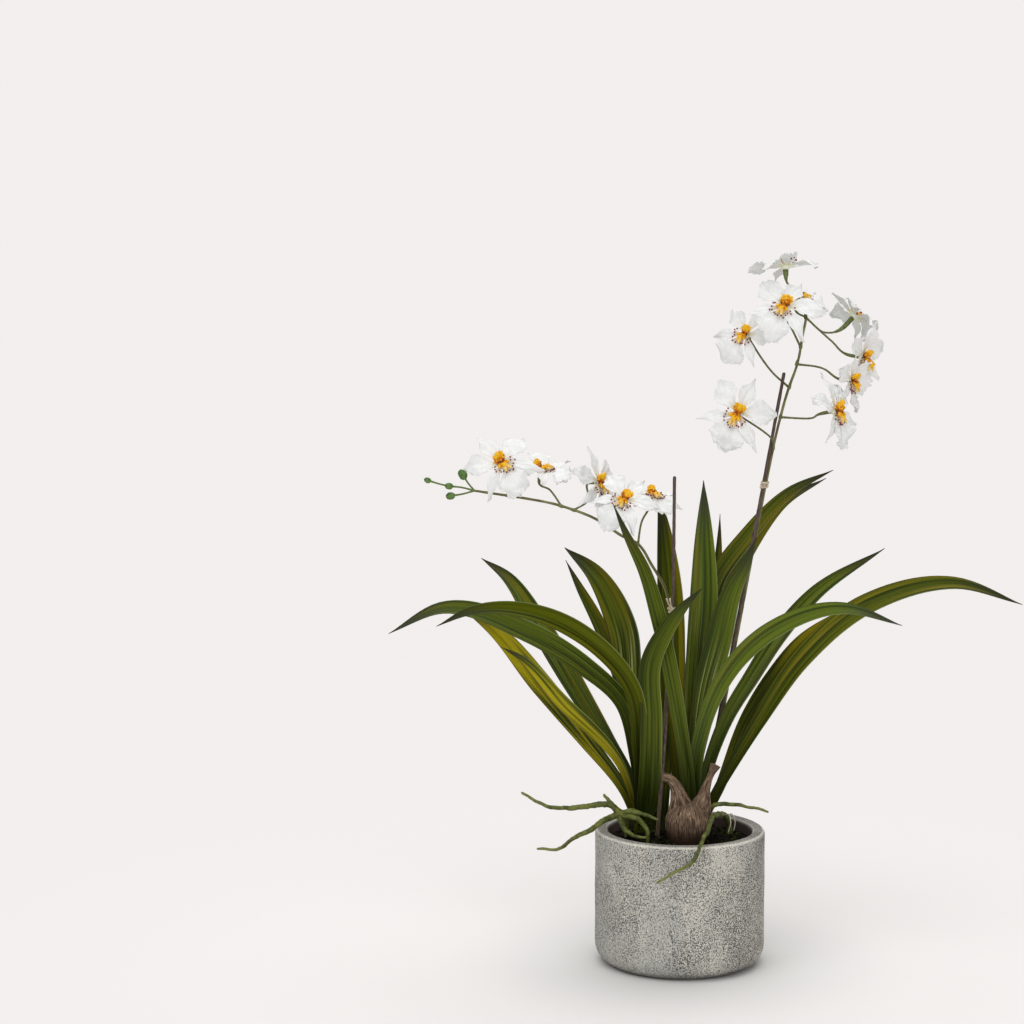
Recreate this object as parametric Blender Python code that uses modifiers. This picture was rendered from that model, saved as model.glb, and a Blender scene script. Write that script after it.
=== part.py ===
"""Potted orchid with two staked flower sprays in a round concrete pot.

The origin is the centre of the pot's underside, +Z is up and -Y is the front.
Driving dimensions are in millimetres and become metres through MM.
"""
import math

import bmesh
import bpy
from mathutils import Matrix, Vector
from mathutils.geometry import intersect_point_line

MM = 0.001
GAP = 0.3  # clearance between two pieces that touch
STALK_GAP = 0.5  # clearance of a flower stalk's slanted end
WELD = 0.001  # loose curve caps and seams this close are merged

# Pot and soil
POT_RADIUS = 76.0
POT_HEIGHT = 122.0
POT_CORNER = 18.0
POT_WALL = 12.0
POT_LIP = 5.0
POT_FLOOR = 14.0
POT_FLOOR_CORNER = 12.0
POT_STEPS = 36
SOIL_TOP = 111.0
SOIL_CROWN = 4.0
SOIL_RIPPLE = 1.2
HOLE_CLEARANCE = 0.8
HOLE_TOP = 140.0

# Pseudobulb: height above the pot's underside and radius, bottom to top
BULB_CENTRE = (7.0, -22.0)
BULB_PROFILE = ((96, 10), (108, 14), (118, 17.5), (126, 19.5), (136, 19.7), (144, 16.5), (148, 11), (150, 5))
BULB_CROWN = 1.5
BULB_HORNS = (
    (((2, -22, 134), (-1, -22, 154), (-5, -22.5, 166), (-10, -23, 172), (-15.5, -24, 173)),
     (12, 10.4, 7.8, 5.5, 4.1, 3.0)),
    (((15, -22, 136), (20.5, -22, 154), (23.5, -22, 166), (27, -22.5, 175), (31, -23.5, 184)),
     (10, 8, 5.0, 2.9, 2.8, 3.8)),
)

# Leaf growths: the sheath that stands in the soil
SHEATH_LEFT = (-35.0, 18.0)
SHEATH_RIGHT = (14.0, 8.0)
SHEATH_RADIUS = 8.0
SHEATH_FOOT = 86.0
SHEATH_TOP = 136.0
LEAF_THICKNESS = 0.9
LEAF_TIP = 1.2
LEAF_CHANNEL = 0.16
LEAF_STEPS = 10

# Each leaf: width, the way its upper face looks, and the points of its midrib from the sheath out
LEAVES_RIGHT = (
    (21, (0.0, -0.75, 0.65), ((15, 6, 120), (31, 4, 151), (69, 0, 218), (106, 0, 275), (161, 5, 323),
                              (241, 15, 343), (303, 25, 323))),
    (18, (-0.1, -0.85, 0.5), ((13, 5, 120), (12, 2, 156), (18, -8, 207), (34, -20, 254), (79, -50, 309),
                              (142, -85, 334), (186, -105, 323))),
    (16, (0.1, -0.95, 0.2), ((16, 8, 120), (21, 8, 159), (41, 12, 220), (64, 30, 255), (89, 50, 291),
                             (118, 70, 322), (187, 110, 362))),
    (19, (0.1, -0.8, 0.5), ((17, 10, 120), (30, 14, 144), (62, 30, 217), (87, 40, 254), (113, 50, 284),
                            (139, 60, 302), (174, 75, 320))),
    (17, (0.3, -0.9, 0.2), ((12, 10, 120), (14, 17, 171), (24, 34, 250), (33, 50, 344), (57, 62, 376),
                            (96, 85, 415), (139, 115, 434))),
    (17, (0.2, -0.95, 0.3), ((13, 12, 120), (15, 21, 170), (32, 48, 248), (42, 72, 327), (62, 88, 367),
                             (90, 105, 402), (134, 140, 424))),
    (26, (-0.1, -1.0, 0.1), ((11, 6, 120), (10, 10, 172), (14, 16, 244), (20, 24, 325), (20, 34, 378),
                             (19, 50, 430))),
    (24, (0.1, -1.0, 0.0), ((13, 5, 120), (13, 5, 173), (22, 5, 246), (33, 6, 291), (45, 8, 336),
                            (57, 8, 361), (66, 6, 384))),
    (25, (-0.2, -1.0, 0.1), ((9, 8, 120), (2, 14, 171), (-6, 24, 242), (-11, 34, 339), (-16, 44, 385),
                             (-22, 60, 418))),
    (15, (-0.3, -0.9, 0.2), ((10, 6, 120), (7, 0, 165), (-1, -9, 221), (-8, -14, 262), (-19, -18, 312),
                             (-32, -24, 356), (-49, -36, 392), (-60, -50, 419))),
    (14, (0.5, -0.8, 0.1), ((12, 12, 120), (11, 30, 177), (20, 60, 273), (33, 90, 352), (35, 110, 393))),
    (14, (0.7, -0.7, 0.1), ((12, 13, 120), (9, 40, 185), (22, 80, 270), (34, 110, 322), (36, 130, 356))),
)
LEAVES_LEFT = (
    (22, (0.0, -0.75, 0.65), ((-36, 16, 120), (-40, 6, 182), (-52, -6, 236), (-84, -20, 269),
                              (-134, -34, 302), (-210, -52, 326), (-254, -70, 306))),
    (20, (0.1, -0.8, 0.6), ((-34, 13, 120), (-36, -4, 188), (-43, -22, 250), (-75, -50, 295),
                            (-133, -85, 329), (-179, -115, 333), (-206, -135, 323))),
    (21, (-0.1, -0.95, 0.3), ((-37, 18, 120), (-47, 20, 165), (-64, 22, 193), (-85, 28, 227),
                              (-128, 46, 295), (-159, 64, 338), (-185, 85, 353))),
    (20, (0.1, -0.95, 0.3), ((-38, 17, 120), (-50, 12, 151), (-84, 4, 199), (-125, -6, 252),
                             (-164, -14, 300), (-200, -22, 328))),
    (28, (0.1, -1.0, 0.2), ((-34, 19, 120), (-38, 30, 186), (-48, 40, 239), (-54, 56, 292),
                            (-79, 80, 339), (-109, 105, 361))),
    (14, (-0.3, -0.9, 0.2), ((-36, 21, 120), (-44, 44, 192), (-58, 66, 253), (-75, 86, 291),
                             (-95, 108, 324), (-109, 130, 346))),
    (13, (-0.3, -0.8, 0.5), ((-37, 18, 120), (-51, 6, 172), (-106, -40, 244), (-139, -70, 286),
                             (-155, -85, 298))),
    (19, (0.1, -1.0, 0.1), ((-32, 13, 120), (-28, 0, 156), (-26, -12, 221), (-26, -18, 277),
                            (-16, -24, 300), (0, -32, 325), (18, -44, 345))),
)

# Stakes, flower stems and ties
STAKE_RADIUS = 1.5
STAKE_FOOT = 88.0
STAKE_LEFT = ((-21, -6, STAKE_FOOT), (-12, -4, 238), (-8, -2, 326), (-7, 0, 437))
STAKE_RIGHT = ((10.5, 27, STAKE_FOOT), (55, 25.5, 332), (89, 20, 528))
STEM_RADIUS = 1.6
PEDICEL_RADIUS = 1.0
OVARY_RADIUS = 2.0
OVARY_LENGTH = 9.0
STEM_STEPS = 26
STEM_RIGHT = ((15, 28.5, STAKE_FOOT), (56.9, 28.3, 332), (74.3, 25.4, 430), (85.8, 23, 487), (93.5, 20, 516),
              (100, 18, 535), (105, 18, 562), (108, 20, 583), (103, 22, 601))
STEM_LEFT = ((-22, -1.5, STAKE_FOOT), (-13, 0.5, 238), (-9.5, 2.4, 318), (-14, 2.8, 336),
             (-27, 4, 359), (-39, 6, 377), (-53, 6, 384), (-74, 4, 398), (-107, 2, 411), (-147, 0, 419),
             (-172, -4, 423), (-184, -6, 425))
BUDS = (
    ((-184, -6, 425), (-189, -7, 431), (-194, -8, 439), 4.0),
    ((-184, -6, 425), (-196, -7, 428), (-206, -8, 429), 3.0),
    ((-206, -8, 429), (-215, -8, 431), (-225, -8, 434), 2.6),
    ((-184, -6, 425), (-194, -5, 422), (-205, -4, 420), 3.4),
)
TIE_RADIUS = 1.0
TIE_LEFT_HEIGHT = 319.0
TIE_RIGHT_HEIGHTS = (426.0, 432.0)
TIE_CLEARANCE = 0.6
TIE_STEPS = 12
TIE_KNOT_OUT = 4.6
TIE_KNOT_SIZE = (2.4, 1.8, 3.4)
TIE_TAILS = (((-3.0, -1.5, 6), (-5.0, -2.0, 11)), ((-1.2, -1.5, 6), (-2.0, -2.0, 11)))
TIE_LINK_OUT = 3.4

# Aerial roots: points and the radius at each end
ROOT_FOOT = 104.0
ROOTS_LEFT = (
    ((-53, -14, 137), (-64, -16, 146), (-77, -18, 145), (-99, -22, 143), (-120, -26, 146), (-140, -30, 158)),
    ((-54, -14, 138), (-62, -8, 145), (-68, -2, 151)),
    ((-53, -14, 137), (-67, -24, 133), (-78, -32, 127), (-93, -40, 120), (-107, -46, 112), (-125, -48, 112)),
    ((-52, -14, 137), (-45, -20, 141), (-38, -23, 140), (-31, -24, 138), (-20, -26, 135)),
    ((-53, -14, 136), (-51, -18, 127), (-44, -24, 121), (-38, -28, 119), (-28.2, -29, 118.5)),
    ((-52, -15, 136), (-43, -22, 136), (-33, -26, 131), (-29, -28, 126), (-28, -29, 119), (-28, -29, ROOT_FOOT)),
    ((-53, -12, 137), (-49, -6, 133), (-48, -2, 125), (-48, -1, 117), (-48, -1, ROOT_FOOT)),
)
ROOT_FRONT = ((44, 14, ROOT_FOOT), (44, 14, 119), (43, 9, 127), (40, -5, 134), (35, -20, 139), (30, -36, 141),
              (26.5, -50, 139), (24, -64, 134), (20, -77, 128), (15, -82, 117), (7, -83, 107), (-5, -83, 101),
              (-19, -82, 92))
ROOT_RIGHT = ((24, -2, ROOT_FOOT), (24, -2, 118), (25, -4, 132), (28, -6, 142), (37, -5, 145.5), (49, -4, 144),
              (61, -4, 143), (78, -5, 138.5))
ROOTS_LEFT_STANDING = 5  # the strands from this one on stand in the soil
ROOT_RADIUS = 2.9
ROOT_TIP_RADIUS = 1.1

# Bloom: each tepal's angle from the lip, length, width and kind
SEPAL = "sepal"
PETAL = "petal"
LIP = "lip"
TEPALS = (
    (180, 34, 16, SEPAL),
    (118, 34, 22, PETAL),
    (-118, 34, 22, PETAL),
    (56, 34, 12.5, SEPAL),
    (-56, 34, 12.5, SEPAL),
    (0, 33, 32, LIP),
)
TEPAL_THICKNESS = 0.7
TEPAL_START = 3.0
TEPAL_ARCH = 1.2
TEPAL_CUP = 0.10
TEPAL_ROUNDED = 0.10
RUFFLE = 0.12
CUP_RADIUS = 5.2
CUP_DEPTH = 2.6
CALLUS_LENGTH = 8.5
CALLUS_WIDTH = 4.6
CALLUS_HEIGHT = 3.0
CALLUS_WAIST = 0.35

# Each bloom: centre, the way it faces, the way its lip points, size, and how far its tepals bend back:
# all alike or one by one
BLOOMS_RIGHT = (
    ((48, -6, 495), (-0.10, -0.97, 0.20), (-0.45, 0.0, -0.90), 1.00, 4.0),
    ((132, -27, 499), (0.88, -0.42, 0.22), (0.32, 0.0, -0.95), 0.98, (5, 3, 4, -4, 2, -3)),
    ((54, 0, 564), (-0.30, -0.85, 0.40), (-0.65, -0.25, -0.70), 0.85, 3.0),
    ((147, 2, 524), (0.87, -0.48, -0.06), (0.1, 0.0, -1.0), 0.82, (-6, -9, -4, -6, -5, -6)),
    ((87, -18, 588), (0.0, -0.74, 0.67), (-0.45, -0.60, -0.66), 1.00, (6, 3, 5, 4, 2, 6)),
    ((161, 63, 541), (0.86, -0.50, -0.10), (-0.05, -0.1, -1.0), 0.90, (-13, -10, -5, -8, -5, -7)),
    ((155, 96, 577), (0.62, 0.42, 0.66), (0.7, 0.0, -0.7), 0.88, (-2, 3, 4, 3, 5, 4)),
    ((89, 14, 623), (-0.06, 0.16, 0.98), (0.2, -0.98, 0.0), 0.95, (3, -18, -3, 4, 3, -8)),
    ((103, 46, 594), (0.25, -0.45, 0.86), (0.95, -0.1, 0.1), 0.80, 4.0),
)
BLOOMS_LEFT = (
    ((-159, -8, 449), (-0.16, -0.74, 0.65), (0.55, -0.3, -0.75), 1.00, (-4, 2, -3, 5, 4, 5)),
    ((-127, 24, 441), (0.12, -0.28, 0.95), (0.9, -0.4, 0.1), 0.90, (-6, -7, -4, -5, 3, -4)),
    ((-75, 20, 431), (0.80, -0.57, 0.18), (0.35, -0.1, -0.93), 0.90, 2.0),
    ((-51, -20, 419), (0.14, -0.76, 0.64), (-0.55, -0.3, -0.77), 0.90, (6, 5, 6, 3, 4, 5)),
    ((-27, 26, 418), (0.25, -0.27, 0.93), (0.5, -0.8, -0.2), 0.85, 3.0),
)

# The pedicel of each bloom: a point that its root on the stem is nearest to, and one on its way
PEDICELS_RIGHT = (
    ((82, 24, 461), (80, 13, 469)),
    ((88, 22, 489), (112, 4, 490)),
    ((94, 20, 516), (81, 27, 527)),
    ((100, 18, 537), (124, 10, 533)),
    ((103, 18, 552), (93, 8, 572)),
    ((108, 20, 578), (131, 42, 557)),
    ((108, 20, 578), (128, 60, 563)),
    ((103, 22, 600), (93, 18, 606)),
    ((108, 20, 584), (108, 40, 578)),
)
PEDICELS_LEFT = (
    ((-154, -1, 420), (-157, 4, 432)),
    ((-107, 2, 411), (-118, 14, 424)),
    ((-96, 3, 407), (-84, 22, 416)),
    ((-68, 5, 394), (-58, -2, 404)),
    ((-39, 6, 377), (-36, 16, 396)),
)

COLOURS = {
    "pot": (0.37, 0.36, 0.32, 0.9),
    "soil": (0.02, 0.018, 0.012, 0.95),
    "pseudobulb": (0.16, 0.10, 0.075, 0.8),
    "leaf": (0.05, 0.11, 0.02, 0.45),
    "stake": (0.08, 0.05, 0.04, 0.6),
    "stem": (0.10, 0.12, 0.03, 0.5),
    "tie": (0.83, 0.65, 0.45, 0.8),
    "root": (0.14, 0.19, 0.045, 0.6),
    "tepal": (0.85, 0.86, 0.87, 0.7),
    "callus": (0.85, 0.40, 0.01, 0.6),
}


def point(values):
    """A position in metres from millimetres."""
    return Vector(values) * MM


def clear_scene():
    for item in list(bpy.data.objects):
        bpy.data.objects.remove(item)


def collection(name):
    group = bpy.data.collections.new(name)
    bpy.context.scene.collection.children.link(group)
    return group


def material(name):
    red, green, blue, roughness = COLOURS[name]
    made = bpy.data.materials.new(name)
    made.use_nodes = True
    shader = made.node_tree.nodes["Principled BSDF"]
    shader.inputs["Base Color"].default_value = (red, green, blue, 1.0)
    shader.inputs["Roughness"].default_value = roughness
    return made


def mesh_object(name, mesh, group, paint=None):
    made = bpy.data.objects.new(name, mesh)
    group.objects.link(made)
    if paint is not None:
        mesh.materials.append(paint)
    return made


def smooth_path(points, count):
    """count + 1 places, evenly spaced on a smooth curve through the points."""
    knots = [Vector(p) for p in points]
    gaps = [(b - a).length for a, b in zip(knots, knots[1:])]
    slopes = [(b - a) / gap for a, b, gap in zip(knots, knots[1:], gaps)]
    tangents = [slopes[0]]
    for index in range(1, len(slopes)):
        before, after = gaps[index - 1], gaps[index]
        tangents.append((slopes[index - 1] * after + slopes[index] * before) / (before + after))
    tangents.append(slopes[-1])
    places = []
    span, passed = 0, 0.0
    for step in range(count + 1):
        distance = sum(gaps) * step / count
        while span < len(gaps) - 1 and distance > passed + gaps[span]:
            passed += gaps[span]
            span += 1
        gap = gaps[span]
        t = (distance - passed) / gap
        a, b = knots[span], knots[span + 1]
        places.append(a * (2 * t ** 3 - 3 * t ** 2 + 1) + b * (3 * t ** 2 - 2 * t ** 3)
                      + tangents[span] * gap * (t ** 3 - 2 * t ** 2 + t)
                      + tangents[span + 1] * gap * (t ** 3 - t ** 2))
    return places


def ease(value):
    """Smooth step from 0 to 1."""
    value = max(0.0, min(1.0, value))
    return value * value * (3 - 2 * value)


def sheet(name, rows, thickness, group):
    """A thin closed blade: a grid bent onto rows of points, triangulated, then given thickness."""
    across = len(rows[0]) - 1
    mesh = bpy.data.meshes.new(name)
    form = bmesh.new()
    bmesh.ops.create_grid(form, x_segments=across, y_segments=len(rows) - 1, size=1.0)
    for vert in form.verts:
        column = round((vert.co.x + 1) / 2 * across)
        row = round((vert.co.y + 1) / 2 * (len(rows) - 1))
        vert.co = rows[row][column] * MM
    bmesh.ops.triangulate(form, faces=form.faces[:])
    form.to_mesh(mesh)
    form.free()
    made = mesh_object(name, mesh, group)
    shell = made.modifiers.new("thickness", "SOLIDIFY")
    shell.thickness = thickness * MM
    shell.offset = 0.0
    return applied(made, group)


def applied(source, group, weld=True):
    """The object's evaluated shape as a plain mesh object that takes its place."""
    bpy.context.view_layer.update()
    graph = bpy.context.evaluated_depsgraph_get()
    mesh = bpy.data.meshes.new_from_object(source.evaluated_get(graph))
    if weld:
        form = bmesh.new()
        form.from_mesh(mesh)
        bmesh.ops.remove_doubles(form, verts=form.verts[:], dist=WELD * MM)
        bmesh.ops.recalc_face_normals(form, faces=form.faces[:])
        form.to_mesh(mesh)
        form.free()
    name = source.name
    place = source.matrix_world.copy()
    bpy.data.objects.remove(source)
    made = mesh_object(name, mesh, group)
    made.matrix_world = place
    return made


def bevelled(name, places, widths, group, sides, closed):
    """A round cord along the places, as a closed mesh: one radius for each place."""
    curve = bpy.data.curves.new(name, "CURVE")
    curve.dimensions = "3D"
    curve.bevel_depth = MM
    curve.bevel_resolution = sides
    curve.use_fill_caps = not closed
    spline = curve.splines.new("POLY")
    spline.points.add(len(places) - 1)
    spline.use_cyclic_u = closed
    for knot, place, width in zip(spline.points, places, widths):
        knot.co = (*(place * MM), 1.0)
        knot.radius = width
    made = bpy.data.objects.new(name, curve)
    group.objects.link(made)
    return applied(made, group)


def tube(name, points, radii, group, steps, sides=1):
    """A tapering round tube on a smooth path through the points."""
    widths = []
    for index in range(steps + 1):
        along = index / steps * (len(radii) - 1)
        first = min(int(along), len(radii) - 2)
        widths.append(radii[first] + (radii[first + 1] - radii[first]) * (along - first))
    return bevelled(name, smooth_path(points, steps), widths, group, sides, False)


def ball(name, centre, size, group, fine=1):
    """An egg-shaped blob, from an icosphere scaled along each axis."""
    mesh = bpy.data.meshes.new(name)
    form = bmesh.new()
    bmesh.ops.create_icosphere(form, subdivisions=fine, radius=1.0)
    bmesh.ops.transform(form, matrix=Matrix.Diagonal((*(point(size)), 1.0)), verts=form.verts[:])
    bmesh.ops.translate(form, vec=point(centre), verts=form.verts[:])
    form.to_mesh(mesh)
    form.free()
    return mesh_object(name, mesh, group)


def turned(name, profile, steps, group):
    """A turned solid from (radius, height) pairs."""
    mesh = bpy.data.meshes.new(name)
    form = bmesh.new()
    verts = [form.verts.new((radius * MM, 0.0, height * MM)) for radius, height in profile]
    for first, second in zip(verts, verts[1:]):
        form.edges.new((first, second))
    form.to_mesh(mesh)
    form.free()
    made = mesh_object(name, mesh, group)
    screw = made.modifiers.new("turn", "SCREW")
    screw.steps = steps
    screw.render_steps = steps
    screw.use_merge_vertices = True
    screw.merge_threshold = 0.00001
    return applied(made, group)


def fuse(name, core, pieces, group, paint):
    """The union of the core and the pieces as one named body."""
    bodies = collection(name + "_pieces")
    for piece in pieces:
        group.objects.unlink(piece)
        bodies.objects.link(piece)
    union = core.modifiers.new("join", "BOOLEAN")
    union.operation = "UNION"
    union.operand_type = "COLLECTION"
    union.collection = bodies
    union.solver = "MANIFOLD"
    joined = applied(core, group, weld=False)
    for piece in list(bodies.objects):
        bpy.data.objects.remove(piece)
    bpy.data.collections.remove(bodies)
    return finished(joined, name, paint)


def finished(made, name, paint):
    """Name, paint and shade a body."""
    made.name = name
    made.data.name = name
    made.data.materials.clear()
    made.data.materials.append(paint)
    made.data.shade_smooth()
    made.data.set_sharp_from_angle(angle=math.radians(40))
    return made


def arc(centre_radius, centre_height, radius, start, end, count):
    """Profile points on an arc, angles in degrees from the outward direction."""
    points = []
    for step in range(count + 1):
        angle = math.radians(start + (end - start) * step / count)
        points.append((centre_radius + radius * math.cos(angle), centre_height + radius * math.sin(angle)))
    return points


def build_pot(parts, paint):
    inner = POT_RADIUS - POT_WALL
    corner = POT_FLOOR_CORNER
    profile = [(0.0, POT_FLOOR), (inner - corner * 1.2, POT_FLOOR)]
    profile += arc(inner - corner, POT_FLOOR + corner, corner, -50, 0, 1)
    profile += [(inner, POT_HEIGHT - POT_LIP)]
    profile += arc(inner + POT_LIP, POT_HEIGHT - POT_LIP, POT_LIP, 135, 90, 1)
    profile += arc(POT_RADIUS - POT_LIP, POT_HEIGHT - POT_LIP, POT_LIP, 90, 0, 3)
    profile += [(POT_RADIUS, POT_HEIGHT / 2)]
    profile += arc(POT_RADIUS - POT_CORNER, POT_CORNER, POT_CORNER, 0, -90, 4)
    profile += [(0.0, 0.0)]
    return finished(turned("pot", profile, POT_STEPS, parts), "pot", paint)


def soil_height(x, y):
    """The crumbly top of the soil, higher in the middle."""
    reach = math.hypot(x, y) / (POT_RADIUS - POT_WALL)
    ripple = math.sin(0.21 * x + 1.0) * math.cos(0.17 * y - 0.4) + 0.6 * math.sin(0.11 * x - 0.23 * y)
    return SOIL_TOP + SOIL_CROWN * (1 - reach ** 2) + SOIL_RIPPLE * ripple * (1 - reach ** 4)


def upright(place, foot, radius):
    """A straight hole's foot, head and radius."""
    return (place[0], place[1], foot), (place[0], place[1], HOLE_TOP), radius


def build_soil(parts, cutters, stands, paint):
    """Soil turned to the pot's inside, with a rippled top and a plain hole for each thing in it."""
    inner = POT_RADIUS - POT_WALL - GAP
    profile = [(inner * share, SOIL_TOP) for share in (0.0, 0.3, 0.6, 1.0)]
    corner = POT_FLOOR_CORNER * 1.2
    profile += [(inner, POT_FLOOR + corner)]
    profile += [(inner - corner, POT_FLOOR + GAP), (0.0, POT_FLOOR + GAP)]
    soil = turned("soil", profile, POT_STEPS, parts)
    for vert in soil.data.vertices:
        if vert.co.z > (SOIL_TOP - 1) * MM:
            vert.co.z = soil_height(vert.co.x / MM, vert.co.y / MM) * MM
    for foot, head, radius in stands:
        wide = radius + HOLE_CLEARANCE
        low = Vector(foot) - (Vector(head) - Vector(foot)).normalized() * GAP
        cutter = tube("hole", (low, head), (wide, wide), cutters, 1, 4)
        cutter.hide_render = True
        cutter.display_type = "WIRE"
    cut = soil.modifiers.new("holes", "BOOLEAN")
    cut.operation = "DIFFERENCE"
    cut.operand_type = "COLLECTION"
    cut.collection = cutters
    cut.solver = "MANIFOLD"
    soil = applied(soil, parts, weld=False)
    for cutter in list(cutters.objects):
        bpy.data.objects.remove(cutter)
    return finished(soil, "soil", paint)


def build_bulb(parts, paint):
    """A pear-shaped bulb with two curling bracts."""
    profile = [(0.0, BULB_PROFILE[-1][0] + BULB_CROWN)]
    profile += [(radius, height) for height, radius in reversed(BULB_PROFILE)]
    profile += [(0.0, BULB_PROFILE[0][0])]
    bulb = turned("bulb", profile, 18, parts)
    x, y = BULB_CENTRE
    for vert in bulb.data.vertices:
        vert.co += point((x, y, 0))
    horns = [tube("horn", points, radii, parts, 6) for points, radii in BULB_HORNS]
    return fuse("pseudobulb", bulb, horns, parts, paint)


def leaf_width(along):
    """Share of the full width along a leaf: narrow in the sheath, widest past the middle, pointed at the end."""
    rise = 0.38 + 0.62 * ease(along / 0.62)
    return rise * (1 - max(0.0, (along - 0.58) / 0.42) ** 2)


def leaf_rows(width, face, points, steps, across):
    """Rows of points across a leaf, from its foot to its tip."""
    places = smooth_path(points, steps)
    face = Vector(face)
    rows = []
    for index, place in enumerate(places):
        before = places[max(index - 1, 0)]
        after = places[min(index + 1, steps)]
        ahead = (after - before).normalized()
        side = ahead.cross(face).normalized()
        up = side.cross(ahead).normalized()
        half = max(width * leaf_width(index / steps), LEAF_TIP) / 2
        row = []
        for column in range(across + 1):
            share = column / across * 2 - 1
            row.append(place + side * half * share + up * half * LEAF_CHANNEL * (abs(share) * 2 - 1))
        rows.append(row)
    return rows


def build_growth(name, centre, leaves, parts, paint):
    """A fan of strap leaves fused at their sheath."""
    x, y = centre
    profile = [(0.0, SHEATH_TOP), (SHEATH_RADIUS * 0.5, SHEATH_TOP - 2), (SHEATH_RADIUS * 0.8, SHEATH_TOP - 12),
               (SHEATH_RADIUS, SOIL_TOP), (SHEATH_RADIUS * 0.8, SHEATH_FOOT), (0.0, SHEATH_FOOT)]
    sheath = turned("sheath", profile, 14, parts)
    for vert in sheath.data.vertices:
        vert.co += point((x, y, 0))
    blades = []
    for width, face, points in leaves:
        rows = leaf_rows(width, face, points, LEAF_STEPS, 2)
        blades.append(sheet("leaf", rows, LEAF_THICKNESS, parts))
    return fuse(name, sheath, blades, parts, paint)


def tepal_share(kind, along):
    """Share of a tepal's width along it."""
    if kind == SEPAL:
        return (0.26 + 0.74 * ease(along / 0.55)) * (1 - 0.78 * ease((along - 0.55) / 0.45))
    if kind == PETAL:
        return (0.16 + 0.84 * ease(along / 0.6)) * (1 - 0.6 * ease((along - 0.68) / 0.32))
    return (0.13 + 0.87 * ease(along / 0.65)) * (1 - 0.4 * ease((along - 0.75) / 0.25))


def tepal_rows(length, width, kind, bend, phase, steps, across):
    """Rows of points of a tepal that runs along +X with its face to +Z."""
    rows = []
    for index in range(steps + 1):
        along = index / steps
        reach = TEPAL_START + length * along
        half = width * tepal_share(kind, along) / 2
        height = TEPAL_ARCH * math.sin(math.pi * along) - bend * along ** 2
        row = []
        for column in range(across + 1):
            share = column / across * 2 - 1
            wave = math.sin(7.5 * along + phase + (1.5 if share > 0 else 0.0))
            ruffle = RUFFLE * width * along * abs(share) ** 1.5 * wave
            end = reach - TEPAL_ROUNDED * length * share ** 2 * along ** 3
            row.append(Vector((end, half * share, height + ruffle + TEPAL_CUP * half * abs(share))))
        rows.append(row)
    return rows


def bloom_frame(centre, facing, lip):
    """World matrix of a bloom: +Z is the way it faces and +X the way its lip points."""
    out = Vector(facing).normalized()
    down = Vector(lip)
    down = (down - out * down.dot(out)).normalized()
    side = out.cross(down)
    turn = Matrix((down, side, out)).transposed().to_4x4()
    return Matrix.Translation(point(centre)) @ turn


def six_sided_cup(parts):
    """The small base that a bloom's tepals grow from, one flat side for each."""
    mesh = bpy.data.meshes.new("cup")
    form = bmesh.new()
    bmesh.ops.create_cone(form, cap_ends=True, segments=6, radius1=CUP_RADIUS * 0.55 * MM,
                          radius2=CUP_RADIUS * MM, depth=CUP_DEPTH * 2 * MM,
                          matrix=Matrix.Translation(point((0, 0, -CUP_DEPTH / 2))))
    form.to_mesh(mesh)
    form.free()
    return mesh_object("cup", mesh, parts)


def tepal_bends(bend):
    """How far each tepal of a bloom bends back."""
    return bend if isinstance(bend, tuple) else (bend,) * len(TEPALS)


def build_bloom(name, number, row, parts, paint):
    """The white body of a bloom: five tepals and a lip round a small cup."""
    centre, facing, lip, size, bend = row
    cup = six_sided_cup(parts)
    blades = []
    bends = tepal_bends(bend)
    for order, (angle, length, width, kind) in enumerate(TEPALS):
        steps = 4 if kind == PETAL else 3
        across = 3 if kind == LIP else 2
        phase = 1.7 * number + 2.3 * order
        rows = tepal_rows(length, width, kind, bends[order], phase, steps, across)
        blade = sheet("tepal", rows, TEPAL_THICKNESS / size, parts)
        blade.data.transform(Matrix.Rotation(math.radians(angle), 4, "Z"))
        blades.append(blade)
    body = fuse(name, cup, blades, parts, paint)
    body.data.transform(bloom_frame(centre, facing, lip) @ Matrix.Scale(size, 4))
    return body


def build_callus(name, row, parts, paint):
    """The orange callus in front of the cup: a broad lobe on the lip side and a hooded one above."""
    centre, facing, lip, size, _bend = row
    lift = CUP_DEPTH * 0.5 + GAP
    body = ball(name, (0, 0, 0), (1, 1, 1), parts, 2)
    for vert in body.data.vertices:
        x, y, z = vert.co / MM
        waist = 1 - CALLUS_WAIST * math.exp(-(x * 3) ** 2)
        height = CALLUS_HEIGHT * (1.25 if x < 0 else 0.8) * waist
        vert.co = point((CALLUS_LENGTH * x, CALLUS_WIDTH * y * waist * (1.2 if x > 0 else 0.9),
                         lift + height * (z + 1)))
    body = finished(body, name, paint)
    body.data.transform(bloom_frame(centre, facing, lip) @ Matrix.Scale(size, 4))
    return body


def nearest_on(places, wanted):
    """The point of a run of straight pieces that is nearest to a wanted point."""
    found = []
    for first, second in zip(places, places[1:]):
        foot, share = intersect_point_line(wanted, first, second)
        found.append(first.lerp(second, max(0.0, min(1.0, share))))
    return min(found, key=lambda place: (place - wanted).length)


def pedicel(stem, route, row, parts):
    """A flower stalk from the stem to the back of its bloom, swelling into the ovary."""
    wanted, middle = (Vector(p) for p in route)
    start = nearest_on(smooth_path(stem, STEM_STEPS), wanted)
    centre, facing, _lip, size, _bend = row
    out = Vector(facing).normalized()
    end = Vector(centre) - out * (CUP_DEPTH * 1.5 * size + STALK_GAP)
    neck = end - out * OVARY_LENGTH
    radii = (PEDICEL_RADIUS, PEDICEL_RADIUS, PEDICEL_RADIUS, OVARY_RADIUS, OVARY_RADIUS * 0.8)
    return tube("pedicel", (start, middle, neck, end), radii, parts, 6, 0)


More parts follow.
